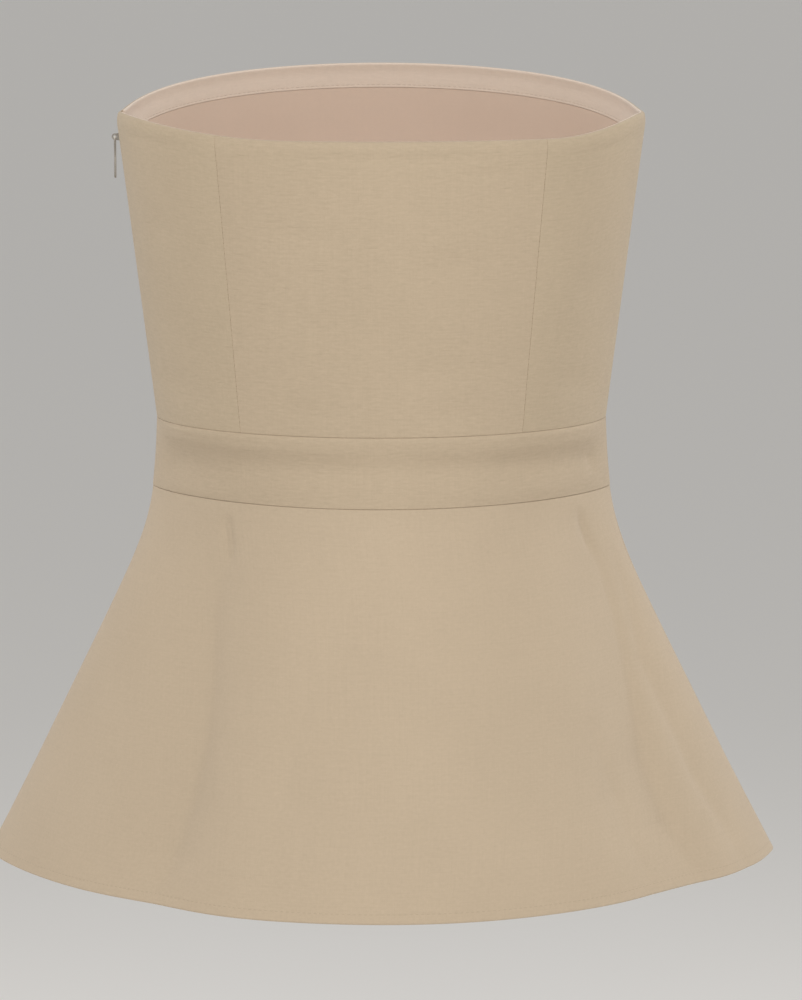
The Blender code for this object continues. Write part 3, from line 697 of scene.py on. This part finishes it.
# The sharp lines of the flutes: how far each stands out along its run, and its width on either side,
# narrow where the cloth turns sharply and wide where it comes back gently.
Crease = namedtuple("Crease", "run before after")
Run = namedtuple("Run", "height turn stands_out")
CREASES = (
    Crease(before=0.0290, after=0.0200, run=(
        Run(-0.2080, 48.0, 0.0), Run(-0.2250, 49.2, -0.0020), Run(-0.2530, 50.6, -0.0040),
        Run(-0.2760, 52.8, -0.0056), Run(-0.2920, 54.6, -0.0068), Run(-0.3270, 56.8, -0.0082),
        Run(-0.3600, 57.0, -0.0084), Run(-0.3900, 56.4, -0.0066), Run(HEM, 55.6, -0.0012),
    )),
    Crease(before=0.0380, after=0.0140, run=(
        Run(-0.2080, 147.0, 0.0), Run(-0.2210, 148.6, -0.0024), Run(-0.2450, 151.2, -0.0046),
        Run(-0.2650, 150.4, -0.0062), Run(-0.2860, 148.4, -0.0072), Run(-0.3150, 145.2, -0.0080),
        Run(-0.3460, 142.0, -0.0086), Run(-0.3800, 141.4, -0.0072), Run(HEM, 143.0, -0.0012),
    )),
    Crease(before=0.0080, after=0.0110, run=(
        Run(-0.2300, 161.0, 0.0), Run(-0.2610, 158.6, -0.0020), Run(-0.2960, 153.0, -0.0032),
        Run(-0.3600, 152.4, -0.0036), Run(HEM, 155.6, -0.0006),
    )),
    Crease(before=0.0220, after=0.0100, run=(
        Run(-0.3150, 130.0, 0.0), Run(-0.3600, 131.6, -0.0034), Run(HEM, 132.4, -0.0008),
    )),
    Crease(before=0.0120, after=0.0120, run=(
        Run(-0.2800, 76.0, 0.0), Run(-0.3300, 75.0, -0.0008), Run(-0.3900, 74.4, -0.0007),
        Run(HEM, 74.4, 0.0),
    )),
    Crease(before=0.0290, after=0.0190, run=(
        Run(-0.2100, 214.0, 0.0), Run(-0.2500, 216.0, -0.0042), Run(-0.3000, 218.5, -0.0064),
        Run(-0.3600, 220.4, -0.0068), Run(HEM, 221.0, -0.0004),
    )),
    Crease(before=0.0190, after=0.0290, run=(
        Run(-0.2100, 313.0, 0.0), Run(-0.2500, 311.0, -0.0040), Run(-0.3000, 309.0, -0.0062),
        Run(-0.3600, 307.6, -0.0066), Run(HEM, 307.0, -0.0004),
    )),
)
CREASE_ROUND = 0.0020
PEPLUM_MARKS = (
    Mark(48.3, -0.2080, 53.0, -0.2400, -0.00160, 0.0026, 0.30),
    Mark(147.2, -0.2080, 150.4, -0.2400, -0.00120, 0.0026, 0.35),
    Mark(30.0, -0.2300, 27.0, -0.3200, 0.00060, 0.0090, 0.45),
    Mark(72.0, -0.2080, 76.0, -0.2500, -0.00050, 0.0050, 0.45),
    Mark(118.0, -0.2080, 115.0, -0.2480, -0.00050, 0.0050, 0.45),
    Mark(96.0, -0.2100, 93.0, -0.2460, 0.00035, 0.0080, 0.45),
    Mark(213.0, -0.2060, 217.0, -0.2420, -0.00110, 0.0024, 0.35),
    Mark(313.0, -0.2060, 310.0, -0.2400, -0.00110, 0.0024, 0.35),
    Mark(243.0, -0.2300, 240.0, -0.3100, 0.00060, 0.0090, 0.45),
    Mark(284.0, -0.2900, 287.0, -0.3900, -0.00060, 0.0080, 0.45),
)


def crease_relief(turn, height):
    """How far the sharp lines of the flutes push the peplum out."""
    around = ring_point(PEPLUM, turn + TURN_STEP, height) - ring_point(PEPLUM, turn, height)
    girth = np.linalg.norm(around, axis=-1)
    turn = np.mod(turn, FULL_TURN)
    total = np.zeros(np.broadcast(turn, height).shape)
    for crease in CREASES:
        down = [-point.height for point in crease.run]
        centre = np.radians(np.interp(-height, down, [point.turn for point in crease.run]))
        stands_out = np.interp(-height, down, [point.stands_out for point in crease.run])
        off = (np.mod(turn - centre + HALF_TURN, FULL_TURN) - HALF_TURN) * girth / TURN_STEP
        spread = np.where(off < 0.0, crease.before, crease.after)
        away = np.sqrt(off * off + CREASE_ROUND * CREASE_ROUND) - CREASE_ROUND
        total += stands_out * np.exp(-away / spread)
    return total


# The peplum's linen shows fewer slubs than the bodice's, and its colours are painted a little lighter:
# painted light, standing in for the extra light its flared, upward-facing cloth catches.
peplum_linen_painted_lighter = woven(LINEN_WEAVE._replace(
    name="peplum_linen_painted_lighter", light=(0.618, 0.498, 0.362, 1.0), dark=(0.426, 0.342, 0.244, 1.0),
    relief=0.00014, slubs=0.22,
))
HEM_DEPTH = 0.0056
HEM_STITCH = 0.0048
HEM_ROLL = 0.00065
HEM_EXTRA = 0.00070
HEM_STEP = 0.0006
HEM_STITCH_SINK = 0.00018
PEPLUM_ROWS = 110
PEPLUM_COLUMNS = 170


def fold_depth(turn, height):
    """How far the peplum's flutes push the cloth out."""
    down = (LOWER_WAIST_SEAM - height) / (LOWER_WAIST_SEAM - HEM)
    turn = np.mod(turn, FULL_TURN)
    total = np.zeros(np.broadcast(turn, height).shape)
    for fold in FOLDS:
        centre = np.radians(fold.waist_at + (fold.hem_at - fold.waist_at) * down)
        off = (turn - centre) / math.radians(fold.spread)
        strength = np.sqrt(ease(0.0, fold.start - HEM, fold.start - height))
        total += fold.stands_out * strength * np.exp(-0.5 * off * off)
    return total


def peplum_cloth(turn, height):
    """The peplum's outer face, with its flutes."""
    along = ring_point(PEPLUM, turn + TURN_STEP, height) - ring_point(PEPLUM, turn - TURN_STEP, height)
    point = ring_point(PEPLUM, turn, height)
    away = np.stack([along[..., 1], -along[..., 0], 0.0 * along[..., 0]], axis=-1)
    away /= np.linalg.norm(away, axis=-1, keepdims=True)
    away = np.where(np.sum(away * point, axis=-1, keepdims=True) < 0.0, -away, away)
    return point + away * (fold_depth(turn, height) + crease_relief(turn, height))[..., None]


peplum_rows = edged_heights(LOWER_WAIST_SEAM - HAIRLINE, HEM, PEPLUM_ROWS)
for name, node, start in (
    ("linen_peplum_back", "peplum_back", 0.0),
    ("linen_peplum_front", "peplum_front", HALF_TURN),
):
    gap = seam_half_gap(peplum_rows)
    turns = edged_turns(peplum_cloth, start, start + HALF_TURN, peplum_rows, PEPLUM_COLUMNS, gap, gap)
    heights = peplum_rows[:, None] + 0.0 * turns
    above_hem = peplum_rows - HEM
    sunk = edges_sunk(*turns.shape, SIDE_SEAM_ROLL, SIDE_SEAM_ROLL, WAIST_ROLL, HEM_ROLL)
    sunk = sunk + HEM_STITCH_SINK * np.exp(-0.5 * ((above_hem - HEM_STITCH) / HEM_STEP) ** 2)[:, None]
    sunk = sunk - marks_relief(PEPLUM_MARKS, peplum_cloth, turns, heights)
    hem_fold = HEM_EXTRA * (1.0 - ease(HEM_DEPTH, HEM_DEPTH + HEM_STEP, above_hem))
    hem_fold = hem_fold - rolled(above_hem, HEM_ROLL) * 0.9
    wall = sunk + (CLOTH_WALL + hem_fold)[:, None]
    wall = np.where(sunk > 0.0, wall - sunk, wall)
    surface = peplum_cloth(turns, heights)
    square = outward(peplum_cloth, turns, heights)
    piece = add_wall(name, surface, square, sunk, wall, peplum_linen_painted_lighter)
    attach(piece, "top")
    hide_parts(node)

# Facing
# A band of the same linen, 14 mm deep, inside the top edge: it is turned in with the bodice's edge and
# stitched down close to its own lower edge, over the top of the lining.
FACING_DEPTH = 0.0143
TAPE_WIDTH = 0.0085
FACING_LOWER_ROLL = 0.0006
FACING_STITCH = 0.0018
FACING_STITCH_SINK = 0.00016
FACING_STITCH_SPREAD = 0.0005
FACING_COLUMNS = 130

# Painted light: the facing's colours are painted much lighter than the bodice's linen, standing in for the
# stronger light from the front and above that falls inside the top edge. It is also pinker.
facing_linen_painted_lighter = woven(Weave(
    name="facing_linen_painted_lighter", light=(0.790, 0.670, 0.570, 1.0), dark=(0.640, 0.535, 0.445, 1.0),
    slub_colour=(0.600, 0.490, 0.400, 1.0), pitch=0.00058, relief=0.00012, slubs=0.45, roughness=0.85,
    sheen=0.25,
))


def below_rim(turn, depth):
    """The ring height of a point that hangs a set depth below the top edge."""
    return TOP_EDGE - depth / (1.0 + rim_height(turn) / (TOP_EDGE - UPPER_WAIST_SEAM))


def lining_gaps(rows, start):
    """The gaps at both ends of an inner layer's half, wider beside the zip for its tapes."""
    plain = seam_half_gap(rows)
    by_tape = plain + TAPE_WIDTH
    return (by_tape, plain) if start == 0.0 else (plain, by_tape)


inner_layer = CLOTH_WALL + LAYER_GAP
facing_drops = np.concatenate([
    EDGE_STEPS, np.linspace(EDGE_STEPS[-1], FACING_DEPTH - EDGE_STEPS[-1], 10)[1:-1],
    FACING_DEPTH - EDGE_STEPS[::-1],
])
for name, node, start in (
    ("linen_facing_back", "facing_back", 0.0),
    ("linen_facing_front", "facing_front", HALF_TURN),
):
    gaps = lining_gaps(facing_drops, start)
    turns = edged_turns(bodice_cloth, start, start + HALF_TURN, -facing_drops, FACING_COLUMNS, *gaps)
    heights = below_rim(turns, facing_drops[:, None])
    square = outward(plain_bodice, turns, heights)
    surface = bodice_cloth(turns, heights)
    wall = np.full(turns.shape, FACING_WALL)
    wall -= rolled(edge_distance(len(facing_drops), True), FACING_WALL * 0.9)[:, None]
    wall -= rolled(edge_distance(len(facing_drops), False), FACING_LOWER_ROLL)[:, None]
    by_stitch = (facing_drops - FACING_DEPTH + FACING_STITCH) / FACING_STITCH_SPREAD
    wall -= FACING_STITCH_SINK * np.exp(-0.5 * by_stitch ** 2)[:, None]
    piece = add_wall(name, surface, square, inner_layer, inner_layer + wall, facing_linen_painted_lighter)
    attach(piece, "top")
    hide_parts(node)

# Lining
# A smooth light lining in a back and a front half, sewn under the facing's lower edge and caught in the
# waistband's lower seam.
LINING_TUCK = 0.00003
LINING_RIPPLE_MOST = 0.0006
LINING_COLUMNS = 120

lining_cloth = woven(Weave(
    name="lining_cloth", light=(0.680, 0.540, 0.440, 1.0), dark=(0.595, 0.466, 0.376, 1.0),
    slub_colour=(0.600, 0.475, 0.385, 1.0), pitch=0.00034, relief=0.00004, slubs=0.12, roughness=0.62,
    sheen=0.12,
))
LINING_MARKS = (
    Mark(228.0, -0.0280, 262.0, -0.0420, 0.00060, 0.0090, 0.45),
    Mark(312.0, -0.0300, 282.0, -0.0480, 0.00055, 0.0090, 0.45),
    Mark(250.0, -0.0900, 292.0, -0.0980, 0.00060, 0.0110, 0.45),
    Mark(60.0, -0.0700, 104.0, -0.0800, 0.00060, 0.0110, 0.45),
    Mark(118.0, -0.0300, 88.0, -0.0440, 0.00050, 0.0090, 0.45),
)


def body_cloth(turn, height):
    """The outer face from the bodice to the peplum, each height in its own piece."""
    upper = bodice_cloth(turn, np.maximum(height, UPPER_WAIST_SEAM))
    middle = waistband_cloth(turn, np.clip(height, LOWER_WAIST_SEAM, UPPER_WAIST_SEAM))
    lower = peplum_cloth(turn, np.minimum(height, LOWER_WAIST_SEAM))
    height = np.asarray(height)[..., None]
    return np.where(height > UPPER_WAIST_SEAM, upper, np.where(height > LOWER_WAIST_SEAM, middle, lower))


lining_levels = np.concatenate([
    np.linspace(0.0, 1.0, 46) * UPPER_WAIST_SEAM,
    UPPER_WAIST_SEAM + np.linspace(0.06, 1.0, 12) * (LOWER_WAIST_SEAM + 0.0002 - UPPER_WAIST_SEAM),
])
for name, node, start in (
    ("lining_back", "lining_back", 0.0),
    ("lining_front", "lining_front", HALF_TURN),
):
    gaps = lining_gaps(lining_levels, start)
    turns = edged_turns(body_cloth, start, start + HALF_TURN, lining_levels, LINING_COLUMNS, *gaps)
    top = below_rim(turns, FACING_DEPTH + LINING_TUCK)
    share = np.clip(lining_levels[:, None] / UPPER_WAIST_SEAM, 0.0, 1.0)
    heights = np.where(
        lining_levels[:, None] > UPPER_WAIST_SEAM, top + (UPPER_WAIST_SEAM - top) * share,
        lining_levels[:, None] + 0.0 * turns,
    )
    square = outward(body_cloth, turns, heights)
    surface = body_cloth(turns, heights)
    ripple = marks_relief(LINING_MARKS, body_cloth, turns, heights)
    in_band = np.clip(heights, LOWER_WAIST_SEAM, UPPER_WAIST_SEAM)
    pushed = inner_layer + np.maximum(-marks_relief(WAISTBAND_MARKS, waistband_cloth, turns, in_band), 0.0)
    depth = pushed + LINING_WALL - np.minimum(ripple, LINING_RIPPLE_MOST)
    piece = add_wall(name + "_cloth", surface, square, pushed, depth, lining_cloth)
    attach(piece, "top")
    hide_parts(node)

# Zip tapes
# Two strips of fine tape behind the edges of the zip's side seam, sewn to the seam allowances from the
# top edge to below the waistband.
TAPE_WALL = 0.0008
TAPE_TOP = -0.0030
TAPE_END = -0.2600
TAPE_ROWS = 110
TAPE_CLEARANCE = 0.0001
TAPE_STEP = 0.02

tape_cloth = woven(Weave(
    name="tape_cloth", light=(0.600, 0.490, 0.360, 1.0), dark=(0.470, 0.370, 0.265, 1.0),
    slub_colour=(0.44, 0.34, 0.24, 1.0), pitch=0.00046, relief=0.00010, slubs=0.05, roughness=0.75,
    sheen=0.1,
))
tape_rows = np.linspace(TAPE_TOP, TAPE_END, TAPE_ROWS)
tape_near = zip_half_gap(tape_rows) + TAPE_CLEARANCE


def speed_beside_zip(side, heights):
    """How far the cloth runs for each radian beside the zip's seam."""
    seam = np.zeros(len(heights))
    beside = body_cloth(seam + side * TAPE_STEP, heights) - body_cloth(seam, heights)
    return np.linalg.norm(beside, axis=-1)


for name, node, side in (("tape_back", "zip_tape_back", 1.0), ("tape_front", "zip_tape_front", -1.0)):
    shares = np.linspace(0.0, 1.0, 9)[None, :]
    widths = tape_near[:, None] + (TAPE_WIDTH - 2.0 * TAPE_CLEARANCE - tape_near[:, None]) * shares
    turns = side * widths * TAPE_STEP / speed_beside_zip(side, tape_rows)[:, None]
    heights = tape_rows[:, None] + 0.0 * turns
    square = outward(body_cloth, turns, heights)
    surface = body_cloth(turns, heights)
    piece = add_wall(name, surface, square, inner_layer, inner_layer + TAPE_WALL, tape_cloth)
    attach(piece, "top")
    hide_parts(node)

# Zip coil
# A fine nylon coil on the edge of each tape, locked together below the slider and drawn apart just under
# it, where it ends.
COIL_PITCH = 0.0011
COIL_REACH = 0.0016
COIL_WIRE = 0.00032
COIL_TOP = -0.0050
COIL_END = TAPE_END + 0.004
SLIDER_END = -0.0136


def bead_shape(sides, rings):
    """Points and faces of a slim rounded bead along X, from -0.5 to 0.5, with a radius of 1."""
    points = []
    for ring in range(rings + 1):
        along = -0.5 + ring / rings
        radius = math.sqrt(max(1.0 - (2.0 * along) ** 4, 0.06))
        for index in range(sides):
            angle = FULL_TURN * index / sides
            points.append((along, radius * math.cos(angle), radius * math.sin(angle)))
    faces = []
    for ring in range(rings):
        for index in range(sides):
            low = ring * sides + index
            beside = ring * sides + (index + 1) % sides
            faces.append((low, low + sides, beside + sides, beside))
    faces.append(tuple(range(sides)))
    faces.append(tuple(reversed(range(rings * sides, (rings + 1) * sides))))
    return np.array(points), faces


def add_beads(name, places, along, outwards, length, width, height, finish, sides=6, rings=4):
    """Many small beads in one mesh, each laid along a direction on a surface."""
    shape, shape_faces = bead_shape(sides, rings)
    along = along / np.linalg.norm(along, axis=-1, keepdims=True)
    aside = np.cross(outwards, along)
    aside /= np.linalg.norm(aside, axis=-1, keepdims=True)
    up = np.cross(along, aside)
    points = (
        places[:, None, :]
        + along[:, None, :] * (shape[None, :, :1] * length)
        + aside[:, None, :] * (shape[None, :, 1:2] * width)
        + up[:, None, :] * (shape[None, :, 2:] * height)
    )
    faces = [
        tuple(index + bead * len(shape) for index in face)
        for bead in range(len(places)) for face in shape_faces
    ]
    mesh = bpy.data.meshes.new(name)
    mesh.from_pydata(points.reshape(-1, 3).tolist(), [], faces)
    return as_piece(name, mesh, finish)


def plain_finish(name, light, dark, roughness, grain):
    """A smooth finish with a fine uneven tone."""
    finish = Finish(name, roughness)
    place = finish.node("ShaderNodeTexCoord").outputs["Object"]
    tone = finish.noise(place, grain, 3.0)
    finish.set_colour(finish.tint(tone, dark, light))
    finish.set_roughness(roughness + (tone - 0.5) * 0.2)
    finish.set_relief(tone, 0.00003)
    return finish.material


nylon = plain_finish("nylon", (0.62, 0.52, 0.39, 1.0), (0.50, 0.40, 0.29, 1.0), 0.4, 900.0)
coil_heights = np.arange(COIL_TOP, COIL_END, -COIL_PITCH)
coil_heights = coil_heights[coil_heights < SLIDER_END]
for name, side, shift in (("coil_back", 1.0, 0.0), ("coil_front", -1.0, COIL_PITCH / 2.0)):
    levels = coil_heights - shift
    middle = zip_half_gap(levels) + COIL_REACH * 0.32
    turns = side * middle * TAPE_STEP / speed_beside_zip(side, levels)
    square = outward(body_cloth, turns, levels)
    places = body_cloth(turns, levels) - square * (inner_layer + TAPE_WALL + COIL_WIRE * 1.2)
    along = body_cloth(turns + TURN_STEP, levels) - body_cloth(turns - TURN_STEP, levels)
    piece = add_beads(name, places, along, square, COIL_REACH, COIL_WIRE, COIL_WIRE, nylon, 6, 4)
    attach(piece, "top")

# Slider
# A small nickel slider at the top of the zip: a rounded body behind the tapes, and a flat bridge with an
# eye that comes out through the seam to carry the pull.
nickel = Finish("nickel", 0.34, 1.0)
nickel_place = nickel.node("ShaderNodeTexCoord").outputs["Object"]
nickel_brush = nickel.noise(nickel.map_vector(nickel_place, (9000.0, 9000.0, 700.0)), 1.0, 2.0)
nickel_wear = nickel.noise(nickel_place, 700.0, 3.0)
nickel.set_colour(nickel.tint(nickel_wear, (0.31, 0.285, 0.25, 1.0), (0.44, 0.41, 0.37, 1.0)))
nickel.set_roughness(0.34 + nickel_wear * 0.16)
nickel.set_relief(nickel_brush, 0.00001)

slider_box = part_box("zip_slider")
HINGE = Vector(frame["record"]["behaviour"]["joints"][0]["pos_m"])
BRIDGE_ROUND = 0.0018
BRIDGE_EYE = 0.0010
BRIDGE_WALL = 0.0012
SLIDER_BODY = (0.0022, 0.0060, 0.0090)
SLIDER_LEAN = -0.132
FINE_BEVEL = 0.00016
SLIDER_BEVEL = 0.0007
SLIDER_INSET = 0.0006
BRIDGE_ROOT = 0.0052
BRIDGE_TAPER = 0.66
CUTTER_DEPTH = 0.004


def select_only(*items):
    """Select these objects and nothing else, the last one active."""
    bpy.ops.object.select_all(action="DESELECT")
    for item in items:
        item.select_set(True)
    bpy.context.view_layer.objects.active = items[-1]


def settle(item):
    """Put the object's place, turn and size into its mesh."""
    select_only(item)
    bpy.ops.object.transform_apply(location=True, rotation=True, scale=True)


def cut_or_join(item, tool, operation):
    """Join a shape to another, or cut it out, and remove the tool."""
    change = item.modifiers.new(operation.lower(), "BOOLEAN")
    change.operation = operation
    change.object = tool
    select_only(item)
    bpy.ops.object.modifier_apply(modifier=change.name)
    bpy.data.objects.remove(tool, do_unlink=True)


def soften(item, width, segments):
    """Round off the edges of a hard piece."""
    bevel = item.modifiers.new("rounded", "BEVEL")
    bevel.width = width
    bevel.segments = segments
    bevel.limit_method = "ANGLE"
    bevel.angle_limit = math.radians(38.0)
    select_only(item)
    bpy.ops.object.modifier_apply(modifier=bevel.name)
    bpy.ops.object.shade_smooth_by_angle(angle=math.radians(35.0))


def add_block(place, size, lean=0.0):
    """A block at a place, leaning about Y."""
    bpy.ops.object.select_all(action="DESELECT")
    bpy.ops.mesh.primitive_cube_add(size=1.0, location=place, rotation=(0.0, lean, 0.0))
    block = bpy.context.object
    block.scale = size
    settle(block)
    return block


def add_round(sides, radius, depth):
    """A round across the hinge, its axis along Y."""
    bpy.ops.object.select_all(action="DESELECT")
    bpy.ops.mesh.primitive_cylinder_add(
        vertices=sides, radius=radius, depth=depth, location=HINGE, rotation=(math.radians(90.0), 0.0, 0.0)
    )
    round_bar = bpy.context.object
    settle(round_bar)
    return round_bar


slider = add_round(32, BRIDGE_ROUND, BRIDGE_WALL)
slider.name = "nickel_slider"
body_middle = slider_box[1][0] - SLIDER_BODY[0] / 2.0 - SLIDER_INSET
plate_middle = (HINGE.x + body_middle) / 2.0
plate = add_block((plate_middle, 0.0, HINGE.z), (body_middle - HINGE.x, BRIDGE_WALL, BRIDGE_ROOT))
for corner in plate.data.vertices:
    if corner.co.x < plate_middle:
        corner.co.z = HINGE.z + (corner.co.z - HINGE.z) * BRIDGE_TAPER
cut_or_join(slider, plate, "UNION")
cut_or_join(slider, add_round(24, BRIDGE_EYE, CUTTER_DEPTH), "DIFFERENCE")
slider_body = add_block((body_middle, 0.0, HINGE.z), SLIDER_BODY, SLIDER_LEAN)
soften(slider_body, SLIDER_BEVEL, 3)
cut_or_join(slider, slider_body, "UNION")
soften(slider, FINE_BEVEL, 2)
slider.data.materials.clear()
slider.data.materials.append(nickel.material)
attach(slider, "top")
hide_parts("zip_slider")

# Pull tab
# A slim flat tab of the same nickel. A bar across the top of its eye runs through the bridge, and it
# hangs straight down, clear of the cloth.
TAB_WALL = 0.0010
TAB_LENGTH = 0.0228
TAB_HALF_WIDTH = 0.0019
TAB_BAR = 0.0005
TAB_EYE_LENGTH = 0.0030
TAB_EYE_HALF_WIDTH = 0.0010
TAB_BEVEL = 0.00018
TAB_WAIST = 0.30
TAB_WAIST_AT = 0.42
TAB_WAIST_SPREAD = 0.16
TAB_ROUND_END = 0.0011

tab_top = HINGE.z + TAB_BAR
tab_end = HINGE.z - TAB_LENGTH
tab_size = (TAB_WALL, 2.0 * TAB_HALF_WIDTH, tab_top - tab_end)
tab = add_block((HINGE.x, 0.0, (tab_top + tab_end) / 2.0), tab_size)
tab.name = "nickel_pull"
bpy.ops.object.mode_set(mode="EDIT")
bpy.ops.mesh.select_all(action="SELECT")
bpy.ops.mesh.subdivide(number_cuts=7)
bpy.ops.object.mode_set(mode="OBJECT")
for corner in tab.data.vertices:
    down = (tab_top - corner.co.z) / (tab_top - tab_end)
    waist = 1.0 - TAB_WAIST * math.exp(-((down - TAB_WAIST_AT) / TAB_WAIST_SPREAD) ** 2)
    corner.co.y *= waist if down > 0.18 else 1.0
    if down > 0.99:
        corner.co.z += TAB_ROUND_END * (abs(corner.co.y) / TAB_HALF_WIDTH) ** 2
eye_middle = HINGE.z - (TAB_BAR + TAB_EYE_LENGTH) / 2.0
eye_size = (CUTTER_DEPTH, 2.0 * TAB_EYE_HALF_WIDTH, TAB_EYE_LENGTH - TAB_BAR)
cut_or_join(tab, add_block((HINGE.x, 0.0, eye_middle), eye_size), "DIFFERENCE")
soften(tab, TAB_BEVEL, 2)
tab.data.materials.clear()
tab.data.materials.append(nickel.material)
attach(tab, "pull")
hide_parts("zip_pull")

# Stitching
# Fine thread: a row along the hem in the linen's own colour and one along the facing's lower edge, painted
# lighter like the facing for the stronger light there, both showing as short stitches, and the needle's
# dots along the four princess seams, painted dark for the thread and the shade in the needle holes.
thread = plain_finish("thread", (0.52, 0.42, 0.30, 1.0), (0.40, 0.32, 0.23, 1.0), 0.8, 1500.0)
# Painted light: the facing's thread is painted lighter with the facing, for the same stronger light inside
# the top edge.
facing_thread_painted_lighter = plain_finish(
    "facing_thread_painted_lighter", (0.66, 0.55, 0.45, 1.0), (0.54, 0.44, 0.36, 1.0), 0.8, 1500.0
)
# Painted shade: the needle's dots are painted much darker than the linen, for the thread together with the
# shade in the needle holes along the seam.
seam_dot = plain_finish("seam_thread_and_hole_shade", (0.34, 0.26, 0.17, 1.0), (0.27, 0.20, 0.13, 1.0), 0.9, 1500.0)
STITCH_PITCH = 0.0030
STITCH_LENGTH = 0.0022
STITCH_WIDTH = 0.00019
STITCH_HEIGHT = 0.00016
STITCH_STEP = 0.004
DOT_PITCH = 0.0028
DOT_LENGTH = 0.00076
DOT_WIDTH = 0.00034
DOT_HEIGHT = 0.00014
DOT_SINK = 0.00012


def evenly_along(points, pitch):
    """Fractions of a run of points that divide it at an even pitch."""
    lengths = np.concatenate([[0.0], np.cumsum(np.linalg.norm(np.diff(points, axis=0), axis=-1))])
    marks = np.arange(pitch / 2.0, lengths[-1], pitch)
    return np.interp(marks, lengths, np.arange(len(points)) / (len(points) - 1))


def stitches_round(name, cloth, height_at, sunk, start, end, finish):
    """A row of stitches round the body, at a height for each turn."""
    fine = np.linspace(start, end, 900)
    turns = start + (end - start) * evenly_along(cloth(fine, height_at(fine)), STITCH_PITCH)
    heights = height_at(turns)
    square = outward(cloth, turns, heights)
    ahead, behind = turns + STITCH_STEP, turns - STITCH_STEP
    along = cloth(ahead, height_at(ahead)) - cloth(behind, height_at(behind))
    places = cloth(turns, heights) - square * sunk
    return add_beads(
        name, places, along, square, STITCH_LENGTH, STITCH_WIDTH, STITCH_HEIGHT, finish, 6, 4
    )


def hem_line(turn):
    """The height of the hem's stitching."""
    return HEM + HEM_STITCH + 0.0 * turn


def facing_line(turn):
    """The height of the stitching along the facing's lower edge."""
    return below_rim(turn, FACING_DEPTH - FACING_STITCH)


facing_face = inner_layer + FACING_WALL - 0.00010
rows_of_stitches = (
    ("hem_stitching_back", peplum_cloth, hem_line, 0.00016, 0.002, HALF_TURN - 0.002),
    ("hem_stitching_front", peplum_cloth, hem_line, 0.00016, HALF_TURN + 0.002, FULL_TURN - 0.002),
    ("facing_stitching_back", bodice_cloth, facing_line, facing_face, 0.10, HALF_TURN - 0.01),
    ("facing_stitching_front", bodice_cloth, facing_line, facing_face, HALF_TURN + 0.01, FULL_TURN - 0.10),
)
for name, cloth, height_at, sunk, start, end in rows_of_stitches:
    finish = facing_thread_painted_lighter if cloth is bodice_cloth else thread
    piece = stitches_round(name, cloth, height_at, sunk, start, end, finish)
    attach(piece, "top")

for name, turn in (
    ("seam_dots_back_left", BACK_LEFT_SEAM),
    ("seam_dots_back_right", BACK_RIGHT_SEAM),
    ("seam_dots_front_right", FRONT_RIGHT_SEAM),
    ("seam_dots_front_left", FRONT_LEFT_SEAM),
):
    seam_turn = math.radians(turn)
    run = np.linspace(TOP_EDGE - 0.009, UPPER_WAIST_SEAM + 0.002, 400)
    line = bodice_cloth(np.full(len(run), seam_turn), run)
    levels = run[0] + (run[-1] - run[0]) * evenly_along(line, DOT_PITCH)
    turns = np.full(len(levels), seam_turn)
    square = outward(bodice_cloth, turns, levels)
    along = bodice_cloth(turns + TURN_STEP, levels) - bodice_cloth(turns - TURN_STEP, levels)
    places = bodice_cloth(turns, levels) - square * DOT_SINK
    piece = add_beads(name, places, along, square, DOT_LENGTH, DOT_WIDTH, DOT_HEIGHT, seam_dot, 6, 2)
    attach(piece, "top")
